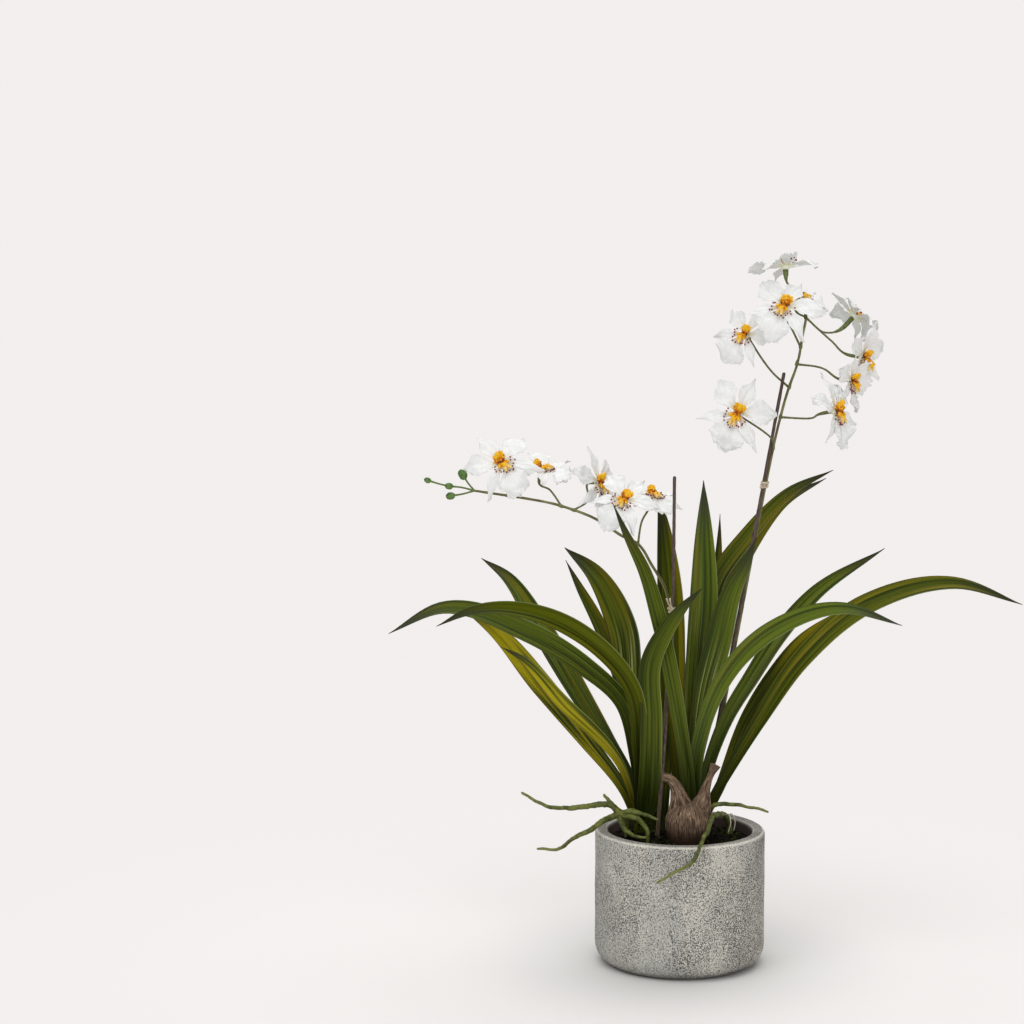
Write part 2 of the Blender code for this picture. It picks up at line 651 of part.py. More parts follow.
def build_flower_stem(name, points, routes, blooms, buds, parts, paint):
    """A spray's stem with its pedicels and buds as one body."""
    stem = tube("stem", points, (STEM_RADIUS, STEM_RADIUS, STEM_RADIUS * 0.8, STEM_RADIUS * 0.7), parts, STEM_STEPS)
    twigs = [pedicel(points, route, row, parts) for route, row in zip(routes, blooms)]
    for start, middle, end, radius in buds:
        twigs.append(tube("stalk", (start, middle, end), (0.9, 0.8), parts, 3, 0))
        twigs.append(ball("bud", end, (radius * 1.2, radius, radius), parts, 1))
    return fuse(name, stem, twigs, parts, paint)


def point_at_height(points, height):
    """Where a route passes a height."""
    for first, second in zip(points, points[1:]):
        if first[2] <= height <= second[2]:
            share = (height - first[2]) / (second[2] - first[2])
            return Vector(first).lerp(Vector(second), share)
    return Vector(points[-1])


def loop_of_cord(stake, stem, height, parts):
    """A level loop of cord round a stake and the stem beside it."""
    first = point_at_height(stake, height)
    second = point_at_height(stem, height)
    middle = (first + second) / 2
    apart = second - first
    along = apart.normalized()
    across = along.cross(Vector((0, 0, 1))).normalized()
    depth = STEM_RADIUS + TIE_RADIUS + TIE_CLEARANCE
    reach = depth + apart.length / 2
    places = []
    for step in range(TIE_STEPS):
        angle = math.tau * step / TIE_STEPS
        places.append(middle + along * reach * math.cos(angle) + across * depth * math.sin(angle))
    return bevelled("loop", places, [TIE_RADIUS] * TIE_STEPS, parts, 1, True)


def build_ties(parts, paint):
    """Cream ties: one knotted loop on the left, two linked loops on the right."""
    left = loop_of_cord(STAKE_LEFT, STEM_LEFT, TIE_LEFT_HEIGHT, parts)
    knot_place = point_at_height(STAKE_LEFT, TIE_LEFT_HEIGHT) + Vector((0, -TIE_KNOT_OUT, 0))
    knot = [ball("knot", knot_place, TIE_KNOT_SIZE, parts)]
    for bend, tip in TIE_TAILS:
        route = (knot_place, knot_place + Vector(bend), knot_place + Vector(tip))
        knot.append(tube("tail", route, (0.8, 0.5), parts, 3, 0))
    fuse("tie_left", left, knot, parts, paint)
    first, second = (loop_of_cord(STAKE_RIGHT, STEM_RIGHT, height, parts) for height in TIE_RIGHT_HEIGHTS)
    low, high = (point_at_height(STAKE_RIGHT, height) + Vector((0, -TIE_LINK_OUT, 0))
                 for height in TIE_RIGHT_HEIGHTS)
    link = tube("link", (low, (low + high) / 2, high), (1.1, 1.1), parts, 2)
    fuse("tie_right", first, [second, link], parts, paint)


def build_roots(parts, paint):
    """Aerial roots: a fan over the left rim, one over the front and one over the right."""
    radii = (ROOT_RADIUS, ROOT_RADIUS * 0.85, ROOT_RADIUS * 0.6, ROOT_TIP_RADIUS)
    fan = [tube("root", route, radii, parts, len(route) + 1) for route in ROOTS_LEFT]
    fuse("roots_left", fan[0], fan[1:], parts, paint)
    for name, route in (("root_front", ROOT_FRONT), ("root_right", ROOT_RIGHT)):
        finished(tube(name, route, radii, parts, 12), name, paint)


def main():
    clear_scene()
    parts = collection("potted_orchid")
    cutters = collection("cutters")
    paints = {name: material(name) for name in COLOURS}
    build_pot(parts, paints["pot"])
    stands = [
        upright(BULB_CENTRE, BULB_PROFILE[0][0], BULB_PROFILE[3][1]),
        upright(SHEATH_LEFT, SHEATH_FOOT, SHEATH_RADIUS),
        upright(SHEATH_RIGHT, SHEATH_FOOT, SHEATH_RADIUS),
    ]
    for route in (STAKE_LEFT, STAKE_RIGHT, STEM_LEFT, STEM_RIGHT):
        stands.append((route[0], point_at_height(route, HOLE_TOP), STEM_RADIUS))
    for route in (ROOT_FRONT, ROOT_RIGHT):
        stands.append(upright(route[0], ROOT_FOOT, ROOT_RADIUS))
    for route in ROOTS_LEFT[ROOTS_LEFT_STANDING:]:
        stands.append(upright(route[-1], ROOT_FOOT, ROOT_TIP_RADIUS * 1.6))
    build_soil(parts, cutters, stands, paints["soil"])
    build_bulb(parts, paints["pseudobulb"])
    build_growth("leaves_left", SHEATH_LEFT, LEAVES_LEFT, parts, paints["leaf"])
    build_growth("leaves_right", SHEATH_RIGHT, LEAVES_RIGHT, parts, paints["leaf"])
    for name, route in (("stake_left", STAKE_LEFT), ("stake_right", STAKE_RIGHT)):
        finished(tube(name, route, (STAKE_RADIUS, STAKE_RADIUS), parts, 12), name, paints["stake"])
    build_flower_stem("flower_stem_left", STEM_LEFT, PEDICELS_LEFT, BLOOMS_LEFT, BUDS, parts, paints["stem"])
    build_flower_stem("flower_stem_right", STEM_RIGHT, PEDICELS_RIGHT, BLOOMS_RIGHT, (), parts, paints["stem"])
    build_ties(parts, paints["tie"])
    build_roots(parts, paints["root"])
    for side, rows in (("r", BLOOMS_RIGHT), ("l", BLOOMS_LEFT)):
        for number, row in enumerate(rows, 1):
            build_bloom("bloom_%s%d" % (side, number), number, row, parts, paints["tepal"])
            build_callus("callus_%s%d" % (side, number), row, parts, paints["callus"])
    bpy.data.collections.remove(cutters)


main()
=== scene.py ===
import random
from math import cos, dist, hypot, pi, radians, sin, sqrt, tau

import bpy
import numpy as np
from mathutils import Matrix, Vector, noise


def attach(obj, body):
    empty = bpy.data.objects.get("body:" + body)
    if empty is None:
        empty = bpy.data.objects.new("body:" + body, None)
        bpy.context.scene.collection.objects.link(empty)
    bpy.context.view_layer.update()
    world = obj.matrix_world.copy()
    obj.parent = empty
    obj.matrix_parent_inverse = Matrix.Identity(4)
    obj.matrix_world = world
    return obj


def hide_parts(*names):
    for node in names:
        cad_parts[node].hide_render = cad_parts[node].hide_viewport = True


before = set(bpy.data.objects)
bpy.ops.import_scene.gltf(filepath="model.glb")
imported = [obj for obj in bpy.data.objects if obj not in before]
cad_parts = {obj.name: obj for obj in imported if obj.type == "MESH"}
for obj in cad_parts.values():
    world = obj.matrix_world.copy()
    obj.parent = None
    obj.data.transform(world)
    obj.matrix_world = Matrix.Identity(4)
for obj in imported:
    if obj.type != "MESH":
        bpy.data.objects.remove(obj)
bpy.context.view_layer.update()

MM = 0.001
SEED = 7

# Pot and soil
POT_RADIUS = 76
POT_HEIGHT = 122
POT_CORNER = 18
POT_WALL = 12
POT_LIP = 5
POT_FLOOR = 14
POT_FLOOR_CORNER = 12
POT_SIDES = 160
SOIL_TOP = 111
SOIL_CROWN = 4
SOIL_RIPPLE = 1.2
SOIL_GAP = 0.3
SOIL_FOOT = 90
SOIL_RINGS = 52
SOIL_SIDES = 150
CRUMBS = 520

# Pseudobulb: height above the pot's underside and radius, bottom to top
BULB_CENTRE = (7, -22)
BULB_PROFILE = ((96, 10), (108, 14), (118, 17.5), (126, 19.5), (136, 19.7), (144, 16.5), (148, 11), (150, 5))
BULB_ROWS = 60
BULB_FIBRES = 150
HORN_STEPS = 26
HORN_MOUTH = ((0.78, 0.2, 1), (0.5, 3, 0.5), (0.1, 4, 0.5))  # share of the rim, depth and tone
BULB_HORNS = (
    (((2, -22, 134), (-1, -22, 154), (-5, -22.5, 166), (-10, -23, 172), (-15.5, -24, 173)),
     (14.5, 12, 8.4, 5.8, 4.2, 3)),
    (((15, -22, 136), (20.5, -22, 154), (23.5, -22, 166), (27, -22.5, 175), (31, -23.5, 184)),
     (12.5, 9.6, 5.8, 3.4, 2.8, 3.8)),
)

# Leaf growths
SHEATH_LEFT = (-35, 18)
SHEATH_RIGHT = (14, 8)
SHEATH_RADIUS = 7.6
SHEATH_FOOT = 100
SHEATH_TOP = 135
SHEATH_ROWS = 14
LEAF_THICKNESS = 0.6
LEAF_EDGE = 0.28
LEAF_TIP = 0.5
LEAF_CHANNEL = 0.16
LEAF_FOOT = 0.38  # share of the full width in the sheath
LEAF_ROWS = 56
LEAF_COLUMNS = 32
PLEATS = 8
PLEAT_DEPTH = 0.3

# Looks of the concrete and the bulb: grains in a metre, and heights in metres between which each fades
GRAIN = 1050
# Heights of the painted shade at the pot's foot
FOOT_SHADE_FADE = (0.002, 0.009)
# Heights of the painted highlight: a pale line just below the rim's crest
HIGHLIGHT_BELOW = (0.1192, 0.1203)
HIGHLIGHT_ABOVE = (0.1209, 0.1215)
RIM_FADE = (0.121, 0.1217)
# Heights over which the bulb's painted shade fades
BULB_SHADE = (0.116, 0.14)

# Each leaf: width, the way its upper face looks, its look (yellow, light and ribbed shares)
# and the points of its midrib from the sheath out
LEAVES_RIGHT = (
    (21, (0, -0.75, 0.65), (0.55, 0.15, 0.3), ((15, 6, 120), (31, 4, 151), (69, 0, 218), (106, 0, 275),
        (161, 5, 323), (241, 15, 343), (303, 25, 323))),
    (18, (-0.1, -0.85, 0.5), (0.15, 0.75, 0.2), ((13, 5, 120), (12, 2, 156), (18, -8, 207), (34, -20, 254),
        (79, -50, 309), (142, -85, 334), (186, -105, 323))),
    (16, (0.1, -0.95, 0.2), (0.2, 0.45, 0.1), ((16, 8, 120), (21, 8, 159), (41, 12, 220), (64, 30, 255),
        (89, 50, 291), (118, 70, 322), (187, 110, 362))),
    (19, (0.1, -0.8, 0.5), (0.6, 0, 0.3), ((17, 10, 120), (30, 14, 144), (62, 30, 217), (87, 40, 254),
        (113, 50, 284), (139, 60, 302), (174, 75, 320))),
    (17, (0.3, -0.9, 0.2), (0.35, 0.25, 0.4), ((12, 10, 120), (14, 17, 171), (24, 34, 250), (33, 50, 344),
        (57, 62, 376), (96, 85, 415), (139, 115, 434))),
    (17, (0.2, -0.95, 0.3), (0.5, 0.2, 0.4), ((13, 12, 120), (15, 21, 170), (32, 48, 248), (42, 72, 327),
        (62, 88, 367), (90, 105, 402), (134, 140, 424))),
    (26, (-0.1, -1, 0.1), (0.3, 0.55, 1), ((11, 6, 120), (10, 10, 172), (14, 16, 244), (20, 24, 325),
        (20, 34, 378), (19, 50, 430))),
    (24, (0.1, -1, 0), (0.15, 0.5, 1), ((13, 5, 120), (13, 5, 173), (22, 5, 246), (33, 6, 291), (45, 8, 336),
        (57, 8, 361), (66, 6, 384))),
    (25, (-0.2, -1, 0.1), (0.55, 0, 0.4), ((9, 8, 120), (2, 14, 171), (-6, 24, 242), (-11, 34, 339),
        (-16, 44, 385), (-22, 60, 418))),
    (15, (-0.3, -0.9, 0.2), (0.1, 0.4, 0.05), ((10, 6, 120), (7, 0, 165), (-1, -9, 221), (-8, -14, 262),
        (-19, -18, 312), (-32, -24, 356), (-49, -36, 392), (-60, -50, 419))),
    (14, (0.5, -0.8, 0.1), (0.5, 0, 0.4), ((12, 12, 120), (11, 30, 177), (20, 60, 273), (33, 90, 352),
        (35, 110, 393))),
    (14, (0.7, -0.7, 0.1), (0.4, 0.1, 0.4), ((12, 13, 120), (9, 40, 185), (22, 80, 270), (34, 110, 322),
        (36, 130, 356))),
)
LEAVES_LEFT = (
    (22, (0, -0.75, 0.65), (0.3, 0.5, 0.5), ((-36, 16, 120), (-40, 6, 182), (-52, -6, 236), (-84, -20, 269),
        (-134, -34, 302), (-210, -52, 326), (-254, -70, 306))),
    (20, (0.1, -0.8, 0.6), (0.1, 0, 0.1), ((-34, 13, 120), (-36, -4, 188), (-43, -22, 250), (-75, -50, 295),
        (-133, -85, 329), (-179, -115, 333), (-206, -135, 323))),
    (21, (-0.1, -0.95, 0.3), (0.45, 0.5, 0.4), ((-37, 18, 120), (-47, 20, 165), (-64, 22, 193),
        (-85, 28, 227), (-128, 46, 295), (-159, 64, 338), (-185, 85, 353))),
    (20, (0.1, -0.95, 0.3), (0.92, 0.4, 0.75), ((-38, 17, 120), (-50, 12, 151), (-84, 4, 199),
        (-125, -6, 252), (-164, -14, 300), (-200, -22, 328))),
    (28, (0.1, -1, 0.2), (0.3, 0.2, 1), ((-34, 19, 120), (-38, 30, 186), (-48, 40, 239), (-54, 56, 292),
        (-79, 80, 339), (-109, 105, 361))),
    (14, (-0.3, -0.9, 0.2), (0.5, 0.1, 0.5), ((-36, 21, 120), (-44, 44, 192), (-58, 66, 253), (-75, 86, 291),
        (-95, 108, 324), (-109, 130, 346))),
    (13, (-0.3, -0.8, 0.5), (0.9, 0.4, 0.65), ((-37, 18, 120), (-51, 6, 172), (-106, -40, 244),
        (-139, -70, 286), (-155, -85, 298))),
    (19, (0.1, -1, 0.1), (0.2, 0.35, 0), ((-32, 13, 120), (-28, 0, 156), (-26, -12, 221), (-26, -18, 277),
        (-16, -24, 300), (0, -32, 325), (18, -44, 345))),
    (17, (0.1, -1, 0.1), (0.4, 0, 0.3), ((-20, 10, 106), (-18, 14, 140), (-15, 20, 190), (-14, 27, 250),
        (-16, 33, 300))),
)

# Leaves that are wide from just above the sheath, as a share of the full width
BROAD_FEET = {"l8": 1.1, "l9": 0.9, "r10": 0.9, "r9": 0.75, "r2": 0.6, "r3": 0.6, "l2": 0.6}

# Stakes, flower stems and ties
STAKE_RADIUS = 1.5
STAKE_LEFT = ((-21, -6, 88), (-12, -4, 238), (-8, -2, 326), (-7, 0, 437))
STAKE_RIGHT = ((10.5, 27, 88), (55, 25.5, 332), (89, 20, 528))
STEM_RADIUS = 1.6
PEDICEL_RADIUS = 1
STALK_SWELL = (1.2, 0.95, 0.9, 0.9, 0.9, 0.9, 0.95, 1.1, 1.6, 1.9)
OVARY_SWELL = (1.2, 0.95, 0.9, 0.9, 0.9, 0.9, 0.95, 1.6, 2.3, 2.4)  # of the blooms seen from behind
OVARY_LENGTH = 9
STEM_STEPS = 26
STEM_PLACES = 130
STAKE_PLACES = 90
PEDICEL_PLACES = 28
STEM_RIGHT = ((15, 28.5, 88), (56.9, 28.3, 332), (74.3, 25.4, 430), (85.8, 23, 487), (93.5, 20, 516),
              (100, 18, 535), (105, 18, 562), (108, 20, 583), (103, 22, 601))
STEM_LEFT = ((-22, -1.5, 88), (-13, 0.5, 238), (-9.5, 2.4, 318), (-14, 2.8, 336), (-27, 4, 359),
             (-39, 6, 377), (-53, 6, 384), (-74, 4, 398), (-107, 2, 411), (-147, 0, 419),
             (-172, -4, 423), (-184, -6, 425))
BUDS = (
    ((-184, -6, 425), (-189, -7, 431), (-194, -8, 439), 4),
    ((-184, -6, 425), (-196, -7, 428), (-206, -8, 429), 3),
    ((-206, -8, 429), (-215, -8, 431), (-225, -8, 434), 2.6),
    ((-184, -6, 425), (-194, -5, 422), (-205, -4, 420), 3.4),
)
TIE_RADIUS = 0.7
TIE_LEFT_HEIGHT = 319
TIE_RIGHT_HEIGHTS = (427.4, 430.6)
TIE_CLEARANCE = 0.1
TIE_STEPS = 48
TIE_KNOT_OUT = 4.6
TIE_TAILS = (((-3, -1.5, 6), (-5, -2, 11)), ((-1.2, -1.5, 6), (-2, -2, 11)))
TIE_LINK_OUT = 2.4
TIE_TURNS_LEFT = ((-1.3, 0.5), (0.1, -0.4), (1.4, 0.3))  # height and lean of each turn
TIE_TURNS_RIGHT = ((-0.8, 0.3), (0.8, -0.3))

# Aerial roots
ROOT_FOOT = 104
ROOTS_LEFT = (
    ((-53, -14, 137), (-64, -16, 146), (-77, -18, 145), (-99, -22, 143), (-120, -26, 146), (-140, -30, 158)),
    ((-54, -14, 138), (-62, -8, 145), (-68, -2, 151)),
    ((-53, -14, 137), (-67, -24, 133), (-78, -32, 127), (-93, -40, 120), (-107, -46, 112), (-125, -48, 112)),
    ((-52, -14, 137), (-45, -20, 141), (-38, -23, 140), (-31, -24, 138), (-20, -26, 135)),
    ((-53, -14, 136), (-51, -18, 127), (-44, -24, 121), (-38, -28, 119), (-28.2, -29, 118.5)),
    ((-52, -15, 136), (-43, -22, 136), (-33, -26, 131), (-29, -28, 126), (-28, -29, 119),
     (-28, -29, ROOT_FOOT)),
    ((-53, -12, 137), (-49, -6, 133), (-48, -2, 125), (-48, -1, 117), (-48, -1, ROOT_FOOT)),
)
ROOT_KNOT = (-54, -14, 137)
ROOT_FRONT = ((44, 14, ROOT_FOOT), (44, 14, 119), (43, 9, 127), (40, -5, 134), (35, -20, 139), (30, -36, 141),
              (26.5, -50, 139), (24, -64, 134), (20, -77, 128), (15, -82, 117), (7, -83, 107), (-5, -83, 101),
              (-19, -82, 92))
ROOT_RIGHT = ((24, -2, ROOT_FOOT), (24, -2, 118), (25, -4, 132), (28, -6, 142), (37, -5, 145.5),
              (49, -4, 144), (61, -4, 143), (78, -5, 138.5))
ROOT_RADII = (2.9, 2.9 * 0.85, 2.9 * 0.6, 1.1)
ROOT_STEPS = 60
ROOT_SEED = 51
ROOT_THREADS = (((41, 0, 131), (46, -4, 136), (49, -8, 131), (48, -10, 122)),
                ((38, -10, 135), (43, -14, 138), (45, -18, 132), (43, -20, 123)))

# Bloom: each tepal's angle from the lip, length, width and kind
SEPAL = "sepal"
PETAL = "petal"
LIP = "lip"
TEPALS = (
    (180, 34, 16, SEPAL),
    (118, 34, 22, PETAL),
    (-118, 34, 22, PETAL),
    (56, 34, 12.5, SEPAL),
    (-56, 34, 12.5, SEPAL),
    (0, 33, 32, LIP),
)
TOP_TEPALS = (
    (180, 30, 15, SEPAL),
    (112, 36, 12, PETAL),
    (-112, 35, 20, PETAL),
    (56, 30, 13, SEPAL),
    (-56, 32, 13, SEPAL),
    (0, 20, 17, LIP),
)
OWN_TEPALS = {"bloom_r8": TOP_TEPALS}  # the top bloom is seen from below, its lip small and rolled up
TEPAL_THICKNESS = 0.34
TEPAL_START = 3
TEPAL_ROWS = 28
TEPAL_COLUMNS = 24
RUFFLE = 0.12
CUP_DEPTH = 2.6
CUP = ((0.5, 1.2), (2.6, 1.3), (4.2, 0.7), (4.68, -0.4), (4, -2.2), (3, -3.2), (1.4, -CUP_DEPTH * 1.5))
DOTS = 15

# The callus: each lobe's route from the root, its radii, its pale share and its lumps
LOBES = (
    (((-0.5, 0, 0.5), (-3.2, 0, 4), (-5.8, 0, 7)), (2.4, 3.2, 3.5, 2.3), 0, 0.8),
    (((-1.5, 1.6, 1), (-4, 3, 4), (-6.6, 3.6, 6.4)), (1.6, 2.2, 1.7), 0, 0.7),
    (((-1.5, -1.6, 1), (-4, -3, 3.6), (-6.2, -3.4, 5.6)), (1.6, 2, 1.6), 0, 0.7),
    (((0.5, 0, 0.5), (4, 0.3, 2.8), (7.6, -0.4, 4.8)), (2.2, 2.4, 2.6, 1.5), 0, 0.8),
    (((0.8, 1.2, 0.5), (3, 3, 2.8), (5.6, 4.6, 4.8)), (1.5, 1.8, 1), 0, 0.7),
    (((0.8, -1.2, 0.5), (3, -3, 2.6), (5, -5, 4)), (1.5, 1.8, 1), 0, 0.7),
    (((6, 1, 3.2), (9.5, 1.8, 4.4), (12.4, 3, 4.6)), (1.3, 1.6, 0.8), 0.6, 0.6),
    (((6, -0.6, 3.2), (9.5, -1.4, 3.8), (12, -1.8, 3.4)), (1.3, 1.5, 0.8), 0.75, 0.6),
    (((-1, -1.5, 0.5), (-2.6, -4, 1.8), (-3.6, -6.4, 2.2)), (1.4, 1.2, 0.5), -0.6, 0.3),
)
LOBES_BACK = 3  # how many of them stand over the root, not over the lip
CREST_REACH = {"r4": 1.7, "r6": 2.3, "l3": 1.4}  # how far out the lower lobes of some blooms stand
# Each bloom: centre, the way it faces, the way its lip points, size, and how far its tepals bend back:
# all alike or one by one
BLOOMS_RIGHT = (
    ((48, -6, 495), (-0.1, -0.97, 0.2), (-0.45, 0, -0.9), 1.00, 4),
    ((132, -27, 499), (0.88, -0.42, 0.22), (0.32, 0, -0.95), 0.98, (5, 3, 4, -4, 2, -3)),
    ((54, 0, 564), (-0.3, -0.85, 0.4), (-0.65, -0.25, -0.7), 0.85, 3),
    ((147, 2, 524), (0.87, -0.48, -0.06), (0.1, 0, -1), 0.82, (-6, -9, -4, -6, -5, -6)),
    ((87, -18, 588), (0, -0.74, 0.67), (-0.45, -0.6, -0.66), 1.00, (6, 3, 5, 4, 2, 6)),
    ((161, 63, 541), (0.86, -0.5, -0.1), (-0.05, -0.1, -1), 0.9, (-13, -10, -5, -8, -5, -7)),
    ((155, 96, 577), (0.62, 0.42, 0.66), (0.7, 0, -0.7), 0.88, (-2, 3, 4, 3, 5, 4)),
    ((89, 14, 623), (-0.05, 0.36, 0.93), (0.2, -0.98, 0), 0.95, (3, -13, 1, 3, 6, -7)),
    ((103, 46, 594), (0.25, -0.45, 0.86), (0.95, -0.1, 0.1), 0.8, 4),
)
BLOOMS_LEFT = (
    ((-159, -8, 449), (-0.16, -0.74, 0.65), (0.55, -0.3, -0.75), 1.00, (-7, 4, -7, 9, 7, 8)),
    ((-127, 24, 441), (0.12, -0.28, 0.95), (0.9, -0.4, 0.1), 0.9, (-6, -7, -4, -5, 3, -4)),
    ((-75, 20, 431), (0.8, -0.57, 0.18), (0.35, -0.1, -0.93), 0.9, 2),
    ((-51, -20, 419), (0.14, -0.76, 0.64), (-0.55, -0.3, -0.77), 0.9, (6, 5, 6, 3, 4, 5)),
    ((-27, 26, 418), (0.25, -0.27, 0.93), (0.5, -0.8, -0.2), 0.85, 3),
)

# The pedicel of each bloom: a point that its root on the stem is nearest to, and one on its way
PEDICELS_RIGHT = (
    ((82, 24, 461), (80, 13, 469)),
    ((88, 22, 489), (112, 4, 490)),
    ((94, 20, 516), (81, 27, 527)),
    ((100, 18, 537), (124, 10, 533)),
    ((103, 18, 552), (93, 8, 572)),
    ((108, 20, 578), (131, 42, 557)),
    ((108, 20, 578), (128, 60, 563)),
    ((103, 22, 600), (93, 18, 606)),
    ((108, 20, 584), (108, 40, 578)),
)
PEDICELS_LEFT = (
    ((-154, -1, 420), (-157, 4, 432)),
    ((-107, 2, 411), (-118, 14, 424)),
    ((-96, 3, 407), (-84, 22, 416)),
    ((-68, 5, 394), (-58, -2, 404)),
    ((-39, 6, 377), (-36, 16, 396)),
)

# Camera: place in metres, and degrees down from level and round
CAMERA_PLACE = (0, -2.3, 0.66)
CAMERA_DOWN = 6.3
CAMERA_ROUND = 3.757
FOCAL_PIXELS = 2608
PICTURE_PIXELS = 1024
SENSOR_WIDTH = 36

# Studio: the pale backdrop, and each light's direction towards it, strength and width in degrees
BACKGROUND = (0.89, 0.86, 0.85, 1)
FLOOR_REACH = 12
FLOOR_FADE = (0.22, 0.75)  # metres from the pot over which the floor turns into the backdrop
LIGHTS = (
    ("key", (-0.4, -0.75, 1.2), 1.05, 50),
    ("top", (0.1, 0.45, 1), 1.35, 60),
    ("front", (0.3, -1, 0.4), 0.85, 60),
)
FILL = 0.34  # strength of the even light from all sides


# Paths and shares

def ease(value):
    """Smooth step from 0 to 1."""
    value = max(0, min(1, value))
    return value * value * (3 - 2 * value)


def smooth_path(points, count):
    """count + 1 places, evenly spaced on a smooth curve through the points."""
    knots = [Vector(p) for p in points]
    gaps = [(b - a).length for a, b in zip(knots, knots[1:])]
    slopes = [(b - a) / gap for a, b, gap in zip(knots, knots[1:], gaps)]
    tangents = [slopes[0]]
    for index in range(1, len(slopes)):
        before, after = gaps[index - 1], gaps[index]
        tangents.append((slopes[index - 1] * after + slopes[index] * before) / (before + after))
    tangents.append(slopes[-1])
    places = []
    span, passed = 0, 0
    for step in range(count + 1):
        distance = sum(gaps) * step / count
        while span < len(gaps) - 1 and distance > passed + gaps[span]:
            passed += gaps[span]
            span += 1
        gap = gaps[span]
        t = (distance - passed) / gap
        a, b = knots[span], knots[span + 1]
        places.append(a * (2 * t ** 3 - 3 * t ** 2 + 1) + b * (3 * t ** 2 - 2 * t ** 3)
                      + tangents[span] * gap * (t ** 3 - 2 * t ** 2 + t)
                      + tangents[span + 1] * gap * (t ** 3 - t ** 2))
    return places


def between(values, share):
    """The value at a share of the way along a row of values."""
    along = share * (len(values) - 1)
    first = min(int(along), len(values) - 2)
    return values[first] + (values[first + 1] - values[first]) * (along - first)


def ahead_at(places, index):
    """The way a route runs at one of its places."""
    return (places[min(index + 1, len(places) - 1)] - places[max(index - 1, 0)]).normalized()


def drift(x, y, z):
    return noise.noise(Vector((x, y, z)))


def tint(plain, full, share):
    return Vector(plain).lerp(Vector(full), share)


def point_at_height(points, height):
    """Where a route passes a height."""
    for first, second in zip(points, points[1:]):
        if first[2] <= height <= second[2]:
            share = (height - first[2]) / (second[2] - first[2])
            return Vector(first).lerp(Vector(second), share)
    return Vector(points[-1])


def nearest_on(places, wanted):
    """The point of a run of straight pieces that is nearest to a wanted point."""
    found = []
    for first, second in zip(places, places[1:]):
        run = second - first
        share = max(0, min(1, (wanted - first).dot(run) / run.length_squared))
        found.append(first + run * share)
    return min(found, key=lambda place: (place - wanted).length)


# Mesh making

def band(count, around):
    """The faces between rings of points."""
    faces = []
    for here in range(0, (count - 1) * around, around):
        for column in range(around):
            other = (column + 1) % around
            faces.append((here + column, here + other, here + around + other, here + around + column))
    return faces


class Form:
    """Gathers grids of points into one mesh, with a note at each point for its materials.

    A note is four shares: along, across, the side of a blade and a free tone.
    """

    def __init__(self):
        self.points = []
        self.notes = []
        self.faces = []
        self.paints = []
        self.count = 0

    def add(self, points, notes, faces, paint=0):
        self.points.append(np.asarray(points, float).reshape(-1, 3))
        self.notes.append(np.broadcast_to(np.asarray(notes, float), (len(self.points[-1]), 4)))
        self.faces += [[self.count + index for index in face] for face in faces]
        self.paints += [paint] * len(faces)
        self.count += len(self.points[-1])

    def rings(self, rows, notes, paint=0, cap=True):
        """A closed skin over rows of points that each go once round."""
        rows = np.asarray(rows, float)
        count, around = rows.shape[:2]
        faces = band(count, around)
        if cap:
            faces.append(tuple(range(around))[::-1])
            faces.append(tuple((count - 1) * around + column for column in range(around)))
        self.add(rows, np.asarray(notes, float).reshape(-1, 4), faces, paint)

    def skin(self, count, around, spot, paint=0, cap=True, flip=False):
        """Rings of points: spot gives a place and its note from a ring's number, an angle and its share."""
        rows, notes = [], []
        for index in range(count):
            ring = [spot(index, tau * column / around, column / around) for column in range(around)]
            rows.append([place for place, _note in ring])
            notes += [note for _place, note in ring]
        if flip:
            rows = [row[::-1] for row in rows]
        self.rings(rows, notes, paint, cap)

    def blade(self, surface, thickness, notes, paint=0):
        """A closed thin blade about a grid of points, with a thickness at each."""
        surface = np.asarray(surface, float)
        count, wide = surface.shape[:2]
        down = np.gradient(surface, axis=0)
        right = np.gradient(surface, axis=1)
        normal = np.cross(down, right)
        normal /= np.maximum(np.linalg.norm(normal, axis=2, keepdims=True), 1e-9)
        shift = normal * np.asarray(thickness, float)[..., None] / 2
        loop = np.concatenate([surface + shift, (surface - shift)[:, ::-1]], axis=1)
        front = np.array(notes, float)
        back = front[:, ::-1].copy()
        back[..., 2] = 1
        rim = np.concatenate([front, back], axis=1)
        around = 2 * wide
        faces = [(a, d, c, b) for a, b, c, d in band(count, around)]
        last = (count - 1) * around
        for column in range(wide - 1):
            mirror = around - 1 - column
            faces.append((column, column + 1, mirror - 1, mirror))
            faces.append((last + column, last + mirror, last + mirror - 1, last + column + 1))
        self.add(loop, rim.reshape(-1, 4), faces, paint)

    def mesh(self, name, paints, angle=50):
        points = np.concatenate(self.points) * MM
        notes = np.concatenate(self.notes)
        made = bpy.data.meshes.new(name)
        made.from_pydata(points.tolist(), [], self.faces)
        made.polygons.foreach_set("material_index", self.paints)
        layer = made.color_attributes.new("note", "FLOAT_COLOR", "POINT")
        layer.data.foreach_set("color", notes.ravel())
        for paint in paints:
            made.materials.append(paint)
        made.validate()
        made.shade_smooth()
        made.set_sharp_from_angle(angle=radians(angle))
        return made


def add_object(name, data):
    made = bpy.data.objects.new(name, data)
    bpy.context.scene.collection.objects.link(made)
    return made


def piece(name, form, paints, node, angle=50):
    """A piece of the scene that rides on the root and stands for a node."""
    made = add_object(name, form.mesh(name, paints, angle))
    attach(made, "root")
    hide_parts(node)


